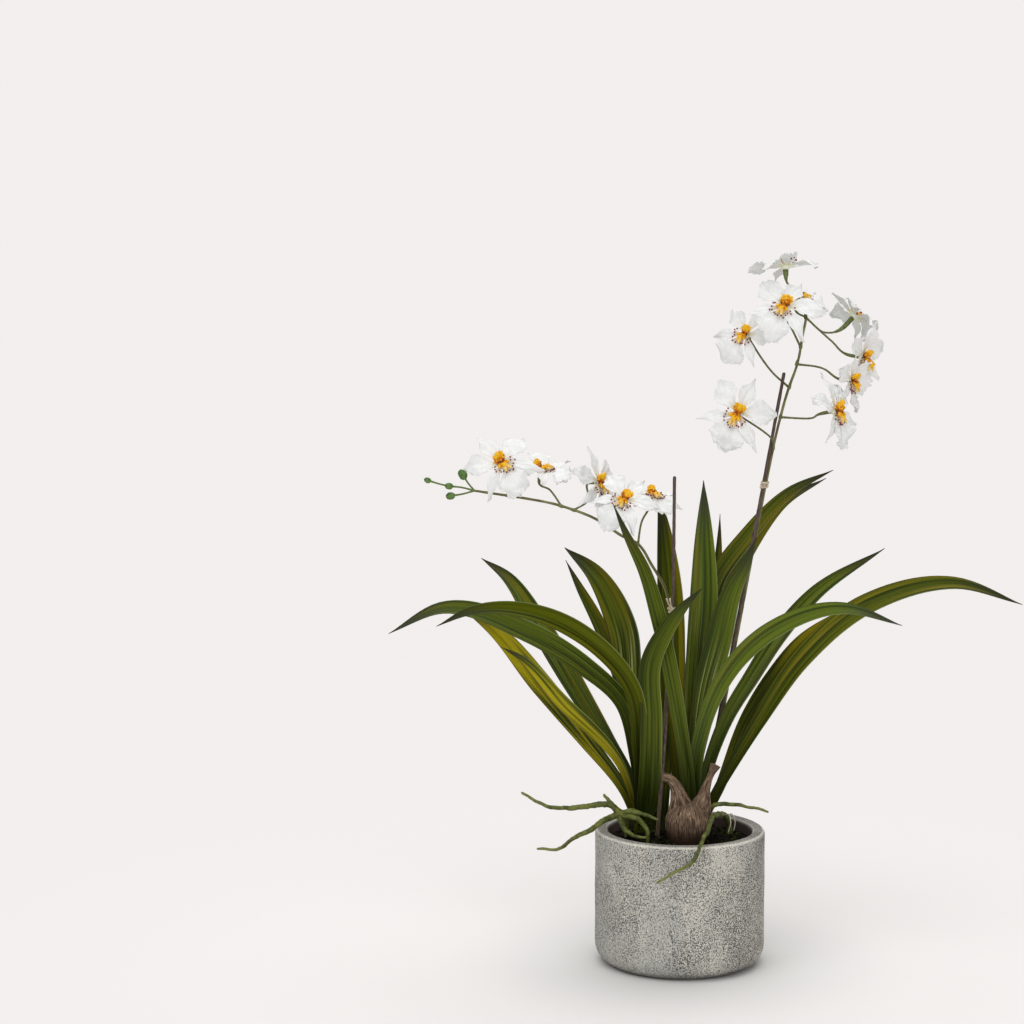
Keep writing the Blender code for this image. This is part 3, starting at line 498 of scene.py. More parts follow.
def tube(form, places, radii, sides=12, tone=0, wobble=0, grain=0.2, seed=0, paint=0, dome=True):
    """A round skin along places: radii at even shares, a slow change of radius and a round end."""
    places = [Vector(p) for p in places]
    last = len(places) - 1
    stops = [(place, ahead_at(places, index), between(radii, index / last), index / last)
             for index, place in enumerate(places)]
    if dome:
        place, ahead, radius, _share = stops[-1]
        for turn in (0.5, 0.95, 1.35):
            stops.append((place + ahead * radius * sin(turn), ahead, radius * cos(turn), 1))
    side = (places[1] - places[0]).normalized().orthogonal().normalized()
    frames = []
    for place, ahead, radius, share in stops:
        side = (side - ahead * side.dot(ahead)).normalized()
        frames.append((place, side, ahead.cross(side), radius, share))

    def spot(index, angle, turn):
        place, side, other, radius, share = frames[index]
        out = side * cos(angle) + other * sin(angle)
        rough = 1
        if wobble:
            rough += wobble * noise.noise((place + out * radius) * grain + Vector((seed, 0, 0)))
        return place + out * radius * rough, (share, turn, 0, tone)

    form.skin(len(frames), sides, spot, paint)


def blob(form, centre, axes, frame_in=None, rows=10, around=14, tone=0, lumps=0, grain=0.5, paint=0):
    """A closed egg with lumps: axes are its half sizes."""
    centre = Vector(centre)
    turn = frame_in if frame_in is not None else Matrix.Identity(3)

    def spot(index, angle, share):
        polar = pi * (0.04 + 0.92 * index / rows)
        out = Vector((sin(polar) * cos(angle), sin(polar) * sin(angle), cos(polar)))
        size = 1 + lumps * noise.noise(out * 2.2 + centre * grain)
        place = centre + turn @ Vector((out.x * axes[0], out.y * axes[1], out.z * axes[2])) * size
        return place, (index / rows, share, 0, tone)

    form.skin(rows + 1, around, spot, paint, flip=True)


# Materials

class Nodes:
    """Short ways to add to a node tree."""

    def __init__(self, tree):
        self.tree = tree

    def node(self, kind, inputs=(), **settings):
        made = self.tree.nodes.new("ShaderNode" + kind)
        for key, value in settings.items():
            setattr(made, key, value)
        for key, value in dict(inputs).items():
            socket = made.inputs[key]
            if isinstance(value, bpy.types.NodeSocket):
                self.tree.links.new(value, socket)
            elif socket.type == "RGBA" and len(value) == 3:
                socket.default_value = (*value, 1)
            else:
                socket.default_value = value
        return made

    def blend(self, share, first, second, end):
        """Ends the tree in a mix of two shaders."""
        either = self.node("MixShader", {0: share, 1: first.outputs[0], 2: second.outputs[0]})
        self.tree.links.new(either.outputs[0], self.tree.nodes[end].inputs[0])


class Paint(Nodes):
    """A node material. Its base is the colour so far."""

    def __init__(self, name, roughness, **sockets):
        self.made = bpy.data.materials.new(name)
        self.made.use_nodes = True
        super().__init__(self.made.node_tree)
        self.shader = self.tree.nodes["Principled BSDF"]
        self.shader.inputs["Roughness"].default_value = roughness
        for key, value in sockets.items():
            self.shader.inputs[key.replace("_", " ")].default_value = value

    def note(self):
        """The four shares that a mesh's points carry: along, across, side and tone."""
        read = self.node("Attribute", attribute_name="note")
        split = self.node("SeparateColor", {"Color": read.outputs["Color"]})
        return split.outputs["Red"], split.outputs["Green"], split.outputs["Blue"], read.outputs["Alpha"]

    def place(self, scale=(1, 1, 1)):
        where = self.node("TexCoord").outputs["Object"]
        return self.node("Mapping", {"Vector": where, "Scale": scale}).outputs["Vector"]

    def noise(self, scale, detail=3, vector=None, rough=0.55):
        inputs = {"Vector": vector or self.place(), "Scale": scale, "Detail": detail, "Roughness": rough}
        return self.node("TexNoise", inputs).outputs["Fac"]

    def lanes(self, wide, long, detail=3, rough=0.6):
        """Noise drawn out along a piece: how fine it is across and along."""
        along, across, _side, tone = self.note()
        where = self.node("CombineXYZ", {0: self.times(across, wide), 1: self.times(along, long),
                                         2: self.times(tone, 40)})
        return self.noise(1, detail, where.outputs[0], rough)

    def math(self, operation, first, second=0):
        return self.node("Math", {0: first, 1: second}, operation=operation).outputs[0]

    def plus(self, first, second):
        return self.math("ADD", first, second)

    def times(self, first, second):
        return self.math("MULTIPLY", first, second)

    def span(self, value, low, high, to_low=0, to_high=1):
        """The value between low and high, carried over to another range."""
        inputs = {"Value": value, "From Min": low, "From Max": high, "To Min": to_low, "To Max": to_high}
        return self.node("MapRange", inputs, interpolation_type="SMOOTHSTEP").outputs["Result"]

    def clouds(self, scale, detail, *span):
        """Noise through a span."""
        return self.span(self.noise(scale, detail), *span)

    def mix(self, share, first, second):
        return self.node("Mix", {0: share, 6: first, 7: second}, data_type="RGBA").outputs[2]

    def ground(self, share, first, second):
        self.base = self.mix(share, first, second)

    def coat(self, share, colour):
        self.base = self.mix(share, self.base, colour)

    def feed(self, socket, value):
        self.tree.links.new(value, self.shader.inputs[socket])

    def done(self, height, strength, distance_mm):
        """The material with its base and a bump."""
        bump = self.node("Bump", {"Height": height, "Strength": strength, "Distance": distance_mm * MM})
        self.feed("Base Color", self.base)
        self.feed("Normal", bump.outputs["Normal"])
        return self.made


def concrete_paint():
    """Cast concrete: warm and cool clouds under grains, a pale line of painted highlight below the rim and a
    foot darkened with painted shade.
    """
    paint = Paint("concrete", 0.9, Specular_IOR_Level=0.2)
    split = paint.node("SeparateXYZ", {0: paint.place()})
    height, sideways = split.outputs["Z"], split.outputs["X"]
    cloud = paint.noise(18, 3, paint.place((1, 1, 0.5)))
    paint.ground(paint.span(cloud, 0.36, 0.64), (0.425, 0.425, 0.395), (0.6, 0.575, 0.51))
    crowd = paint.span(paint.noise(24, 3, paint.place((1, 1, 0.6))), 0.36, 0.66, -0.03, 0.052)
    # Painted shade: more dark grains towards the pot's right side
    crowd = paint.plus(crowd, paint.span(sideways, -0.06, 0.07, -0.012, 0.022))
    # Painted shade: darker, with more dark grains, towards the bottom edge
    foot = paint.span(height, *FOOT_SHADE_FADE, 0.07, 0)
    # Painted highlight: a pale line with fewer dark grains just below the rim's crest
    line = paint.times(paint.span(height, *HIGHLIGHT_BELOW), paint.span(height, *HIGHLIGHT_ABOVE, 1, 0))
    rim = paint.span(height, *RIM_FADE)
    grain = paint.plus(paint.noise(GRAIN, 1.5, rough=0.5), paint.plus(crowd, foot))
    grain = paint.plus(grain, paint.times(line, -0.05))
    grain = paint.plus(grain, paint.times(rim, 0.03))
    dark = paint.span(grain, 0.49, 0.6)
    paint.coat(paint.times(dark, 0.92), (0.056, 0.057, 0.054))
    paint.coat(paint.clouds(GRAIN * 0.8, 1, 0.57, 0.7, 0, 0.6), (0.84, 0.81, 0.73))
    paint.coat(paint.times(foot, 6), (0.11, 0.11, 0.095))
    paint.coat(paint.times(line, 0.45), (0.8, 0.76, 0.66))
    paint.coat(paint.times(rim, 0.4), (0.24, 0.21, 0.185))
    # Painted shade: the inner wall turned dark brown
    paint.coat(paint.note()[3], (0.085, 0.063, 0.054))
    return paint.done(paint.math("SUBTRACT", paint.noise(1400, 2), dark), 0.6, 0.3)


def soil_paint():
    """Nearly black filler; tone turns it to moss."""
    paint = Paint("soil", 0.95, Specular_IOR_Level=0.05)
    paint.ground(paint.clouds(320, 3, 0.4, 0.65), (0.002, 0.002, 0.001), (0.016, 0.012, 0.008))
    moss = paint.mix(paint.clouds(500, 2, 0.4, 0.6), (0.006, 0.01, 0.002), (0.045, 0.062, 0.012))
    paint.coat(paint.clouds(70, 3, 0.56, 0.66, 0, 0.7), moss)
    paint.coat(paint.note()[3], moss)
    return paint.done(paint.noise(420, 4), 0.8, 0.8)


def husk_paint():
    """Brown papery fibres that run up the bulb, with painted shade darkening its foot; tone makes a light
    mouth.
    """
    paint = Paint("husk", 0.75, Specular_IOR_Level=0.15)
    fibre = paint.lanes(80, 5, 3, 0.65)
    paint.ground(paint.span(fibre, 0.36, 0.64), (0.026, 0.013, 0.008), (0.25, 0.168, 0.108))
    paint.coat(paint.span(paint.lanes(110, 9, 2), 0.56, 0.7, 0, 0.75), (0.42, 0.32, 0.23))
    paint.coat(paint.clouds(75, 3, 0.42, 0.62, 0, 0.45), (0.1, 0.066, 0.045))
    height = paint.node("SeparateXYZ", {0: paint.place()}).outputs["Z"]
    # Painted shade: the lower bulb darkened towards its foot
    paint.coat(paint.span(height, *BULB_SHADE, 0.94, 0), (0.03, 0.014, 0.008))
    paint.coat(paint.span(paint.note()[3], 0.9, 1), (0.4, 0.27, 0.17))
    return paint.done(fibre, 0.9, 0.6)


def leaf_paint(name, yellow, light, ribbed):
    """Satin strap leaf: broad dark and golden lanes along it, pale ribs lightened with painted highlight and
    painted shade in their grooves, a pale edge of painted highlight, painted shade at the foot and a dark
    tip.
    """
    paint = Paint(name, 0.4, Specular_IOR_Level=0.04 + 0.16 * light)
    along, across, side, _tone = paint.note()
    narrow = paint.span(along, 0.5, 0.85)
    rib = paint.times(paint.lanes(17, 1.4, 1.5), paint.math("SUBTRACT", 1, narrow))
    rib = paint.plus(rib, paint.times(narrow, 0.5))
    dark = tint((0.019, 0.026, 0.0015), (0.034, 0.062, 0.005), light)
    mid = tint((0.082, 0.096, 0.003), (0.122, 0.175, 0.014), light)
    paint.ground(paint.span(paint.lanes(5, 1.3, 2), 0.36, 0.64), dark, mid)
    low, high = 0.62 - 0.3 * yellow, 0.76 - 0.2 * yellow
    gold = paint.span(paint.lanes(3, 1.6, 1), low, high, 0, 0.35 + 0.55 * yellow)
    paint.coat(gold, tint((0.15, 0.112, 0.004), (0.56, 0.47, 0.01), yellow ** 3))
    pale = tint((0.19, 0.21, 0.03), (0.4, 0.42, 0.17), ribbed)
    # Ribs: real ribs made paler with painted highlight, and painted shade in the dark grooves between them
    paint.coat(paint.span(rib, 0.55, 0.7, 0, 0.12 + 0.68 * ribbed), pale)
    paint.coat(paint.span(rib, 0.3, 0.46, 0.12 + 0.6 * ribbed, 0), dark * 0.4)
    # Painted highlight: a pale line along one edge, where the blade's thickness catches light
    paint.coat(paint.span(across, 0.95, 0.98, 0, 0.55), (0.24, 0.29, 0.13))
    paint.coat(paint.span(across, 0.02, 0.05, 0.6, 0), (0.06, 0.04, 0.01))
    paint.coat(paint.times(side, 0.5), (0.15, 0.19, 0.1))
    # Painted shade: each blade darker towards its foot, between the leaves
    paint.coat(paint.span(along, 0.06, 0.4, 0.86, 0), (0.014, 0.021, 0.002))
    paint.coat(paint.span(along, 0.8, 0.97, 0, 0.9), (0.03, 0.034, 0.018))
    paint.feed("Roughness", paint.span(rib, 0.3, 0.7, 0.36, 0.54))
    return paint.done(paint.plus(rib, paint.times(paint.lanes(60, 5), 0.3)), 0.5, 0.35)


def stick_paint():
    paint = Paint("stake", 0.55, Specular_IOR_Level=0.35)
    grain = paint.lanes(9, 60)
    paint.ground(paint.span(grain, 0.35, 0.65), (0.045, 0.026, 0.021), (0.125, 0.082, 0.066))
    return paint.done(grain, 0.6, 0.3)


def stem_paint():
    """Olive stem with brown lanes; tone turns it to bud green."""
    paint = Paint("stem", 0.5, Specular_IOR_Level=0.35)
    paint.ground(paint.span(paint.lanes(5, 26), 0.38, 0.62), (0.08, 0.06, 0.024), (0.215, 0.21, 0.072))
    bud = paint.mix(paint.clouds(200, 3, 0.35, 0.65), (0.045, 0.11, 0.016), (0.12, 0.22, 0.05))
    paint.coat(paint.note()[3], bud)
    return paint.done(paint.noise(500, 3, paint.place((1, 1, 0.3))), 0.4, 0.25)


def root_paint():
    """Green root, lighter towards its end; tone turns it to a pale thread."""
    paint = Paint("root", 0.6, Specular_IOR_Level=0.3)
    along, _across, _side, tone = paint.note()
    paint.ground(paint.clouds(160, 4, 0.36, 0.66), (0.05, 0.064, 0.01), (0.15, 0.168, 0.034))
    paint.coat(paint.clouds(420, 3, 0.58, 0.72, 0, 0.4), (0.26, 0.29, 0.11))
    paint.coat(paint.span(along, 0.72, 0.97, 0, 0.45), (0.25, 0.27, 0.09))
    paint.coat(tone, (0.62, 0.58, 0.48))
    return paint.done(paint.noise(380, 4), 0.6, 0.5)


def petal_paint():
    """White cloth: faint veins, grey clouds of painted crumple shade, a green-yellow foot and a back greyed
    with painted shade.
    """
    paint = Paint("petal", 0.8, Specular_IOR_Level=0.2, Subsurface_Weight=0.2, Subsurface_Scale=0.0015,
                  Subsurface_Radius=(1, 1, 1))
    along, _across, side, _tone = paint.note()
    vein = paint.lanes(14, 3)
    paint.ground(paint.span(vein, 0.35, 0.65), (0.8, 0.812, 0.802), (0.86, 0.866, 0.86))
    # Painted shade: grey clouds for the crumples of the cloth
    paint.coat(paint.clouds(120, 3, 0.42, 0.66, 0, 0.5), (0.705, 0.72, 0.7))
    # Painted shade: the back of each tepal greyer
    paint.coat(paint.times(side, 0.7), (0.6, 0.62, 0.59))
    paint.coat(paint.span(along, 0.02, 0.3, 0.7, 0), (0.78, 0.81, 0.54))
    return paint.done(paint.plus(vein, paint.times(paint.noise(1500, 2), 0.4)), 0.2, 0.2)


def callus_paint():
    """Orange flock: red-brown at the root, yellow towards the ends and pale at the last tip."""
    paint = Paint("callus", 0.7, Specular_IOR_Level=0.25)
    along, _across, _side, tone = paint.note()
    place = paint.plus(along, paint.clouds(430, 3, 0.32, 0.68, -0.36, 0.3))
    paint.ground(paint.span(place, 0, 0.34), (0.135, 0.024, 0.01), (0.6, 0.17, 0.005))
    paint.coat(paint.span(place, 0.34, 0.84), (0.9, 0.5, 0.012))
    # Painted shade: dark orange patches for the creases of the callus
    paint.coat(paint.clouds(650, 2, 0.55, 0.68, 0, 0.65), (0.52, 0.13, 0.006))
    paint.coat(paint.clouds(520, 2, 0.58, 0.7, 0, 0.5), (0.95, 0.66, 0.09))
    paint.coat(tone, (0.9, 0.7, 0.26))
    return paint.done(paint.noise(700, 3), 0.9, 0.7)


def dot_paint():
    paint = Paint("maroon_dot", 0.5)
    paint.ground(paint.noise(900, 2), (0.11, 0.008, 0.012), (0.22, 0.02, 0.03))
    return paint.done(paint.noise(1500, 2), 0.3, 0.1)


def thread_paint():
    paint = Paint("filament", 0.7)
    paint.ground(paint.span(paint.note()[0], 0.3, 1), (0.85, 0.8, 0.55), (0.62, 0.28, 0.22))
    return paint.done(paint.noise(1500, 2), 0.3, 0.1)


def tie_paint():
    """Cream cord with the slant of its twist."""
    paint = Paint("tie", 0.85, Specular_IOR_Level=0.25)
    along, across, _side, _tone = paint.note()
    turn = paint.plus(paint.times(along, 150), paint.times(across, 2 * tau))
    twist = paint.span(paint.math("SINE", turn), -0.8, 0.8)
    paint.ground(twist, (0.62, 0.46, 0.3), (0.92, 0.8, 0.62))
    paint.coat(paint.clouds(500, 3, 0.4, 0.7, 0, 0.5), (0.95, 0.86, 0.72))
    return paint.done(twist, 0.8, 0.35)


def floor_paint():
    """A pale floor with a painted shadow close to the pot, that turns into the backdrop some way off."""
    paint = Paint("floor", 0.9, Specular_IOR_Level=0)
    far = paint.node("VectorMath", {0: paint.place((1, 1, 0))}, operation="LENGTH").outputs["Value"]
    paint.ground(paint.noise(3, 2), (0.836, 0.812, 0.803), (0.844, 0.82, 0.811))
    # Painted shadow: the floor greyer close to the pot
    paint.coat(paint.span(far, 0.06, 0.22, 0.36, 0), (0.54, 0.56, 0.535))
    paint.feed("Base Color", paint.base)
    glow = paint.node("Emission", {"Color": BACKGROUND})
    paint.blend(paint.span(far, *FLOOR_FADE), paint.shader, glow, "Material Output")
    return paint.made


# The pot and what stands in its top

def arc(centre_radius, centre_height, radius, start, end, count):
    """Profile points on an arc, angles in degrees from the outward direction."""
    points = []
    for step in range(count + 1):
        angle = radians(start + (end - start) * step / count)
        points.append((centre_radius + radius * cos(angle), centre_height + radius * sin(angle)))
    return points


def close_profile(profile, gap):
    """The profile with points added so that none are further apart than gap."""
    filled = [profile[0]]
    for first, second in zip(profile, profile[1:]):
        steps = max(1, round(dist(first, second) / gap))
        for step in range(1, steps + 1):
            share = step / steps
            filled.append(tuple(a + (b - a) * share for a, b in zip(first, second)))
    return filled


def build_pot(paint):
    inner = POT_RADIUS - POT_WALL
    corner = POT_FLOOR_CORNER
    profile = [(0.5, POT_FLOOR)]
    profile += arc(inner - corner, POT_FLOOR + corner, corner, -90, 0, 4)
    profile += arc(inner + POT_LIP, POT_HEIGHT - POT_LIP, POT_LIP, 180, 90, 7)
    profile += arc(POT_RADIUS - POT_LIP, POT_HEIGHT - POT_LIP, POT_LIP, 90, 0, 7)
    profile += arc(POT_RADIUS - POT_CORNER, POT_CORNER, POT_CORNER, 0, -90, 14)
    profile = close_profile(profile + [(0.5, 0)], 4)

    def spot(index, angle, _share):
        radius, height = profile[index]
        within = radius < inner + POT_LIP * 0.4 and height > POT_FLOOR - 1
        place = Vector((radius * cos(angle), radius * sin(angle), height))
        swell = 0.35 * noise.noise(place * 0.035) + 0.12 * noise.noise(place * 0.16) if height >= 1 else 0
        # The tone marks the inner wall below the rim, which the concrete darkens as painted shade
        tone = ease((POT_HEIGHT - height) / 4) if within else 0
        return place + Vector((cos(angle), sin(angle), 0)) * swell, (0, 0, 0, tone)

    form = Form()
    form.skin(len(profile), POT_SIDES, spot, flip=True)
    piece("pot_concrete", form, [paint], "pot", angle=60)


def soil_height(x, y):
    """The crumbly top of the soil, higher in the middle."""
    reach = hypot(x, y) / (POT_RADIUS - POT_WALL)
    ripple = sin(0.21 * x + 1) * cos(0.17 * y - 0.4) + 0.6 * sin(0.11 * x - 0.23 * y)
    return SOIL_TOP + SOIL_CROWN * (1 - reach ** 2) + SOIL_RIPPLE * ripple * (1 - reach ** 4)


def build_soil(paint):
    """A rough disc with crumbs and moss on it."""
    form = Form()
    inner = POT_RADIUS - POT_WALL - SOIL_GAP
    spots = [(0.6 + (inner - 0.6) * step / SOIL_RINGS, None) for step in range(SOIL_RINGS + 1)]
    spots += [(inner, SOIL_FOOT), (0.6, SOIL_FOOT)]

    def spot(index, angle, _share):
        radius, height = spots[index]
        x, y = radius * cos(angle), radius * sin(angle)
        if height is None:
            rough = noise.fractal(Vector((x, y, 0)) * 0.22, 1, 2, 4)
            height = soil_height(x, y) + 1.3 * rough * ease((inner - radius) / 5)
        return (x, y, height), (0, 0, 0, 0)

    form.skin(len(spots), SOIL_SIDES, spot, flip=True)
    dice = random.Random(SEED)
    for _ in range(CRUMBS):
        radius = inner * sqrt(dice.random()) * 0.97
        angle = dice.random() * tau
        x, y = radius * cos(angle), radius * sin(angle)
        clump = noise.noise(Vector((x, y, 3)) * 0.05)
        moss = 1 if clump > 0.08 and dice.random() < 0.75 else 0
        size = dice.uniform(0.6, 1.9)
        axes = (size * dice.uniform(0.7, 1.3), size * dice.uniform(0.7, 1.3), size * dice.uniform(0.5, 1))
        blob(form, (x, y, soil_height(x, y) + size * 0.3), axes, None, 4, 7, moss, 0.5, 0.9)
    piece("soil_crumbs", form, [paint], "soil")


def add_horn(form, order, points, widths):
    """A curling bract with an open mouth."""
    places = smooth_path(points, HORN_STEPS)

    def wall(index, angle):
        share = index / HORN_STEPS
        ahead = ahead_at(places, index)
        side = Vector((0, -1, 0)).cross(ahead).normalized()
        radius = between(widths, share) * (1 + 0.25 * ease((share - 0.85) / 0.15))
        reach = radius * (1 + 0.13 * drift(cos(angle) * 7, sin(angle) * 7, share * 1.5 + order * 9))
        return places[index] + side * reach * cos(angle) + ahead.cross(side) * reach * 0.62 * sin(angle)

    def spot(index, angle, turn):
        if index <= HORN_STEPS:
            return wall(index, angle), (index / HORN_STEPS * 0.8, turn * 0.35, 0, 0.3 + order * 0.2)
        share, sink, tone = HORN_MOUTH[index - HORN_STEPS - 1]
        mouth = places[-1]
        rim = wall(HORN_STEPS, angle)
        return mouth + (rim - mouth) * share - ahead_at(places, HORN_STEPS) * sink, (0.1, turn, 0, tone)

    form.skin(HORN_STEPS + 1 + len(HORN_MOUTH), 40, spot)


def build_bulb(paint):
    """A pear-shaped bulb of upright fibres with two curling, open bracts."""
    form = Form()
    heights, radii = zip(*BULB_PROFILE)
    x, y = BULB_CENTRE

    def spot(index, angle, share):
        height = heights[0] + (heights[-1] + 1.2 - heights[0]) * index / BULB_ROWS
        radius = float(np.interp(height, heights, radii))
        if height > heights[-1] - 2:
            radius *= 0.6
        fibre = drift(cos(angle) * 16, sin(angle) * 16, height * 0.03)
        fold = drift(cos(angle) * 2.2, sin(angle) * 2.2, height * 0.02)
        reach = radius + min(radius / 12, 1) * (0.7 * fibre + 0.9 * fold)
        return (x + reach * cos(angle), y + reach * sin(angle), height), (index / BULB_ROWS, share, 0, 0)

    form.skin(BULB_ROWS + 1, BULB_FIBRES, spot)
    for order, (points, widths) in enumerate(BULB_HORNS):
        add_horn(form, order, points, widths)
    piece("bulb_fibres", form, [paint], "pseudobulb")


# Leaves

def leaf_width(along, foot):
    """Share of the full width along a leaf: narrow in the sheath, widest past the middle, pointed."""
    rise = LEAF_FOOT + (foot - LEAF_FOOT) * ease(along / 0.12) + (1 - foot) * ease(along / 0.62)
    return rise * (1 - max(0, (along - 0.58) / 0.42) ** 2)


def add_leaf(form, row, order, paint, foot):
    """One pleated blade."""
    width, face, look, points = row
    places = smooth_path(points, LEAF_ROWS)
    surface, thick, notes = [], [], []
    shares = [1 - column / LEAF_COLUMNS * 2 for column in range(LEAF_COLUMNS + 1)]
    for index, place in enumerate(places):
        along = index / LEAF_ROWS
        ahead = ahead_at(places, index)
        side = ahead.cross(Vector(face)).normalized()
        up = side.cross(ahead).normalized()
        half = max(width * leaf_width(along, foot), LEAF_TIP) / 2
        sway = 0.35 * drift(along * 5, order * 7, 0)
        depth = PLEAT_DEPTH * (0.12 + 1.3 * look[2]) * min(1, half / 9) * ease(along / 0.15)
        depth *= 1 - ease((along - 0.5) / 0.35)
        fold = LEAF_CHANNEL + 0.22 * (1 - ease(along / 0.35))
        line, edge_line = [], []
        for share in shares:
            warp = share + 0.1 * drift(share * 2.5, along * 1.5, order * 5)
            pleat = depth * cos(pi * PLEATS * warp) * (1 - abs(share) ** 6)
            ripple = 0.5 * abs(share) ** 2 * drift(along * 9, share, order * 3)
            lift = half * fold * (abs(share) * 2 - 1) + pleat + ripple
            line.append(place + side * (half * share + sway) + up * lift)
            edge_line.append(LEAF_THICKNESS + (LEAF_EDGE - LEAF_THICKNESS) * abs(share) ** 1.5)
            notes.append((along, (share + 1) / 2, 0, order / 12))
        surface.append(line)
        thick.append([value * min(1, 0.35 + half / 4) for value in edge_line])
    notes = np.array(notes).reshape(len(surface), len(shares), 4)
    form.blade(surface, thick, notes, paint)


def build_growth(side, centre, rows):
    """A fan of strap leaves, each with its own look, on a short sheath."""
    form = Form()
    paints = []
    for order, row in enumerate(rows):
        mark = "%s%d" % (side[0], order + 1)
        paints.append(leaf_paint("leaf_" + mark, *row[2]))
        add_leaf(form, row, order, order, BROAD_FEET.get(mark, LEAF_FOOT))

    def spot(index, angle, share):
        height = SHEATH_FOOT + (SHEATH_TOP - SHEATH_FOOT) * index / SHEATH_ROWS
        radius = SHEATH_RADIUS * (1 - 0.5 * ease((height - SOIL_TOP) / (SHEATH_TOP - SOIL_TOP)))
        reach = radius * (1 + 0.08 * cos(5 * angle))
        place = (centre[0] + reach * cos(angle), centre[1] + reach * sin(angle), height)
        return place, (0.12 + 0.01 * index, share, 0, 0.3)

    form.skin(SHEATH_ROWS + 1, 28, spot, 1)
    piece("leaf_growth_" + side, form, paints, "leaves_" + side)


# Stems, stakes, ties and roots

def pedicel_places(stem, route, row):
    """The way of a flower stalk from the stem to the back of its bloom."""
    wanted, middle = (Vector(p) for p in route)
    start = nearest_on(smooth_path(stem, STEM_STEPS), wanted)
    centre, facing, _lip, size, _bend = row
    out = Vector(facing).normalized()
    end = Vector(centre) - out * (CUP_DEPTH * 1.5 * size)
    return smooth_path((start, middle, end - out * OVARY_LENGTH, end), PEDICEL_PLACES)


def add_bract(form, place, ahead, radius, length):
    """A small pale sheath where a stalk leaves the stem."""
    places = [place + ahead * length * (step / 4 - 0.35) for step in range(5)]
    tube(form, places, (radius * 1.02, radius * 1.35, radius * 1.3, radius * 1.12, radius * 1), 10, 0.15)


def build_flower_stem(side, points, routes, blooms, buds, paint):
    form = Form()
    radii = (STEM_RADIUS, STEM_RADIUS, STEM_RADIUS * 0.8, STEM_RADIUS * 0.7)
    tube(form, smooth_path(points, STEM_PLACES), radii, 12, 0, 0.12, 0.25)
    stem = smooth_path(points, STEM_STEPS)
    for route, row in zip(routes, blooms):
        places = pedicel_places(points, route, row)
        seen = row[1][1] > 0
        swell = OVARY_SWELL if seen else STALK_SWELL
        tube(form, places, [PEDICEL_RADIUS * value for value in swell], 10, 0.45 if seen else 0.25, 0.1, 0.4)
        near = min(range(len(stem)), key=lambda index: (stem[index] - places[0]).length)
        add_bract(form, places[0], ahead_at(stem, near), STEM_RADIUS * 0.8, 4.5)
    for start, middle, end, radius in buds:
        places = smooth_path((start, middle, end), 12)
        tube(form, places, (0.95, 0.8, 0.8, 1.1), 8, 0.7)
        ahead = (places[-1] - places[-2]).normalized()
        turn = ahead.to_track_quat("Z", "Y").to_matrix()
        blob(form, places[-1] + ahead * 0.5, (radius, radius, radius * 1.25), turn, 12, 18, 1, 0.12, 0.3)
    piece("spray_stem_" + side, form, [paint], "flower_stem_" + side)


def build_stakes(paint):
    for side, route in (("left", STAKE_LEFT), ("right", STAKE_RIGHT)):
        form = Form()
        tube(form, smooth_path(route, STAKE_PLACES), [STAKE_RADIUS] * 2, 14, 0, 0.14, 0.5)
        piece("stake_%s_stick" % side, form, [paint], "stake_" + side)


def cord_loop(form, stake, stem, height, lean):
    """A loop of twisted cord round a stake and its stem."""
    first = point_at_height(stake, height)
    second = point_at_height(stem, height)
    middle = (first + second) / 2
    apart = second - first
    along = apart.normalized()
    across = along.cross(Vector((0, 0, 1))).normalized()
    depth = STEM_RADIUS + TIE_RADIUS + TIE_CLEARANCE
    reach = depth + apart.length / 2

    def spot(index, turn, share):
        angle = tau * (index % TIE_STEPS) / TIE_STEPS
        core = middle + along * reach * cos(angle) + across * depth * sin(angle)
        core += Vector((0, 0, lean * sin(angle)))
        out = (along * cos(angle) + across * sin(angle)).normalized()
        lobe = TIE_RADIUS * (1 + 0.16 * cos(2 * turn + 8 * angle))
        place = core + (out * cos(turn) + Vector((0, 0, 1)) * sin(turn)) * lobe
        return place, (index % TIE_STEPS / TIE_STEPS, share, 0, 0)

    form.skin(TIE_STEPS + 1, 10, spot, cap=False)


def build_ties(paint):
    form = Form()
    for shift, lean in TIE_TURNS_LEFT:
        cord_loop(form, STAKE_LEFT, STEM_LEFT, TIE_LEFT_HEIGHT + shift, lean)
    knot = point_at_height(STAKE_LEFT, TIE_LEFT_HEIGHT) + Vector((0, -TIE_KNOT_OUT, 0))
    blob(form, knot, (2.5, 1.9, 3.4), None, 14, 20, 0, 0.35, 0.4)
    blob(form, knot + Vector((0.6, -1, -1.6)), (1.7, 1.3, 2), None, 12, 16, 0, 0.35, 0.4)
    for bend, tip in TIE_TAILS:
        places = smooth_path((knot, knot + Vector(bend), knot + Vector(tip)), 14)
        tube(form, places, (0.9, 0.75, 0.6, 0.85), 8, 0, 0.3, 0.7)
    piece("tie_left_cord", form, [paint], "tie_left")
    form = Form()
    for height in TIE_RIGHT_HEIGHTS:
        for shift, lean in TIE_TURNS_RIGHT:
            cord_loop(form, STAKE_RIGHT, STEM_RIGHT, height + shift, lean)
    low, high = (point_at_height(STAKE_RIGHT, height) + Vector((0, -TIE_LINK_OUT, 0))
                 for height in TIE_RIGHT_HEIGHTS)
    link = smooth_path((low, (low + high) / 2 + Vector((1, -0.4, 0)), high), 10)
    tube(form, link, (1, 1.2, 1), 10, 0, 0.3, 0.7)
    piece("tie_right_cord", form, [paint], "tie_right")


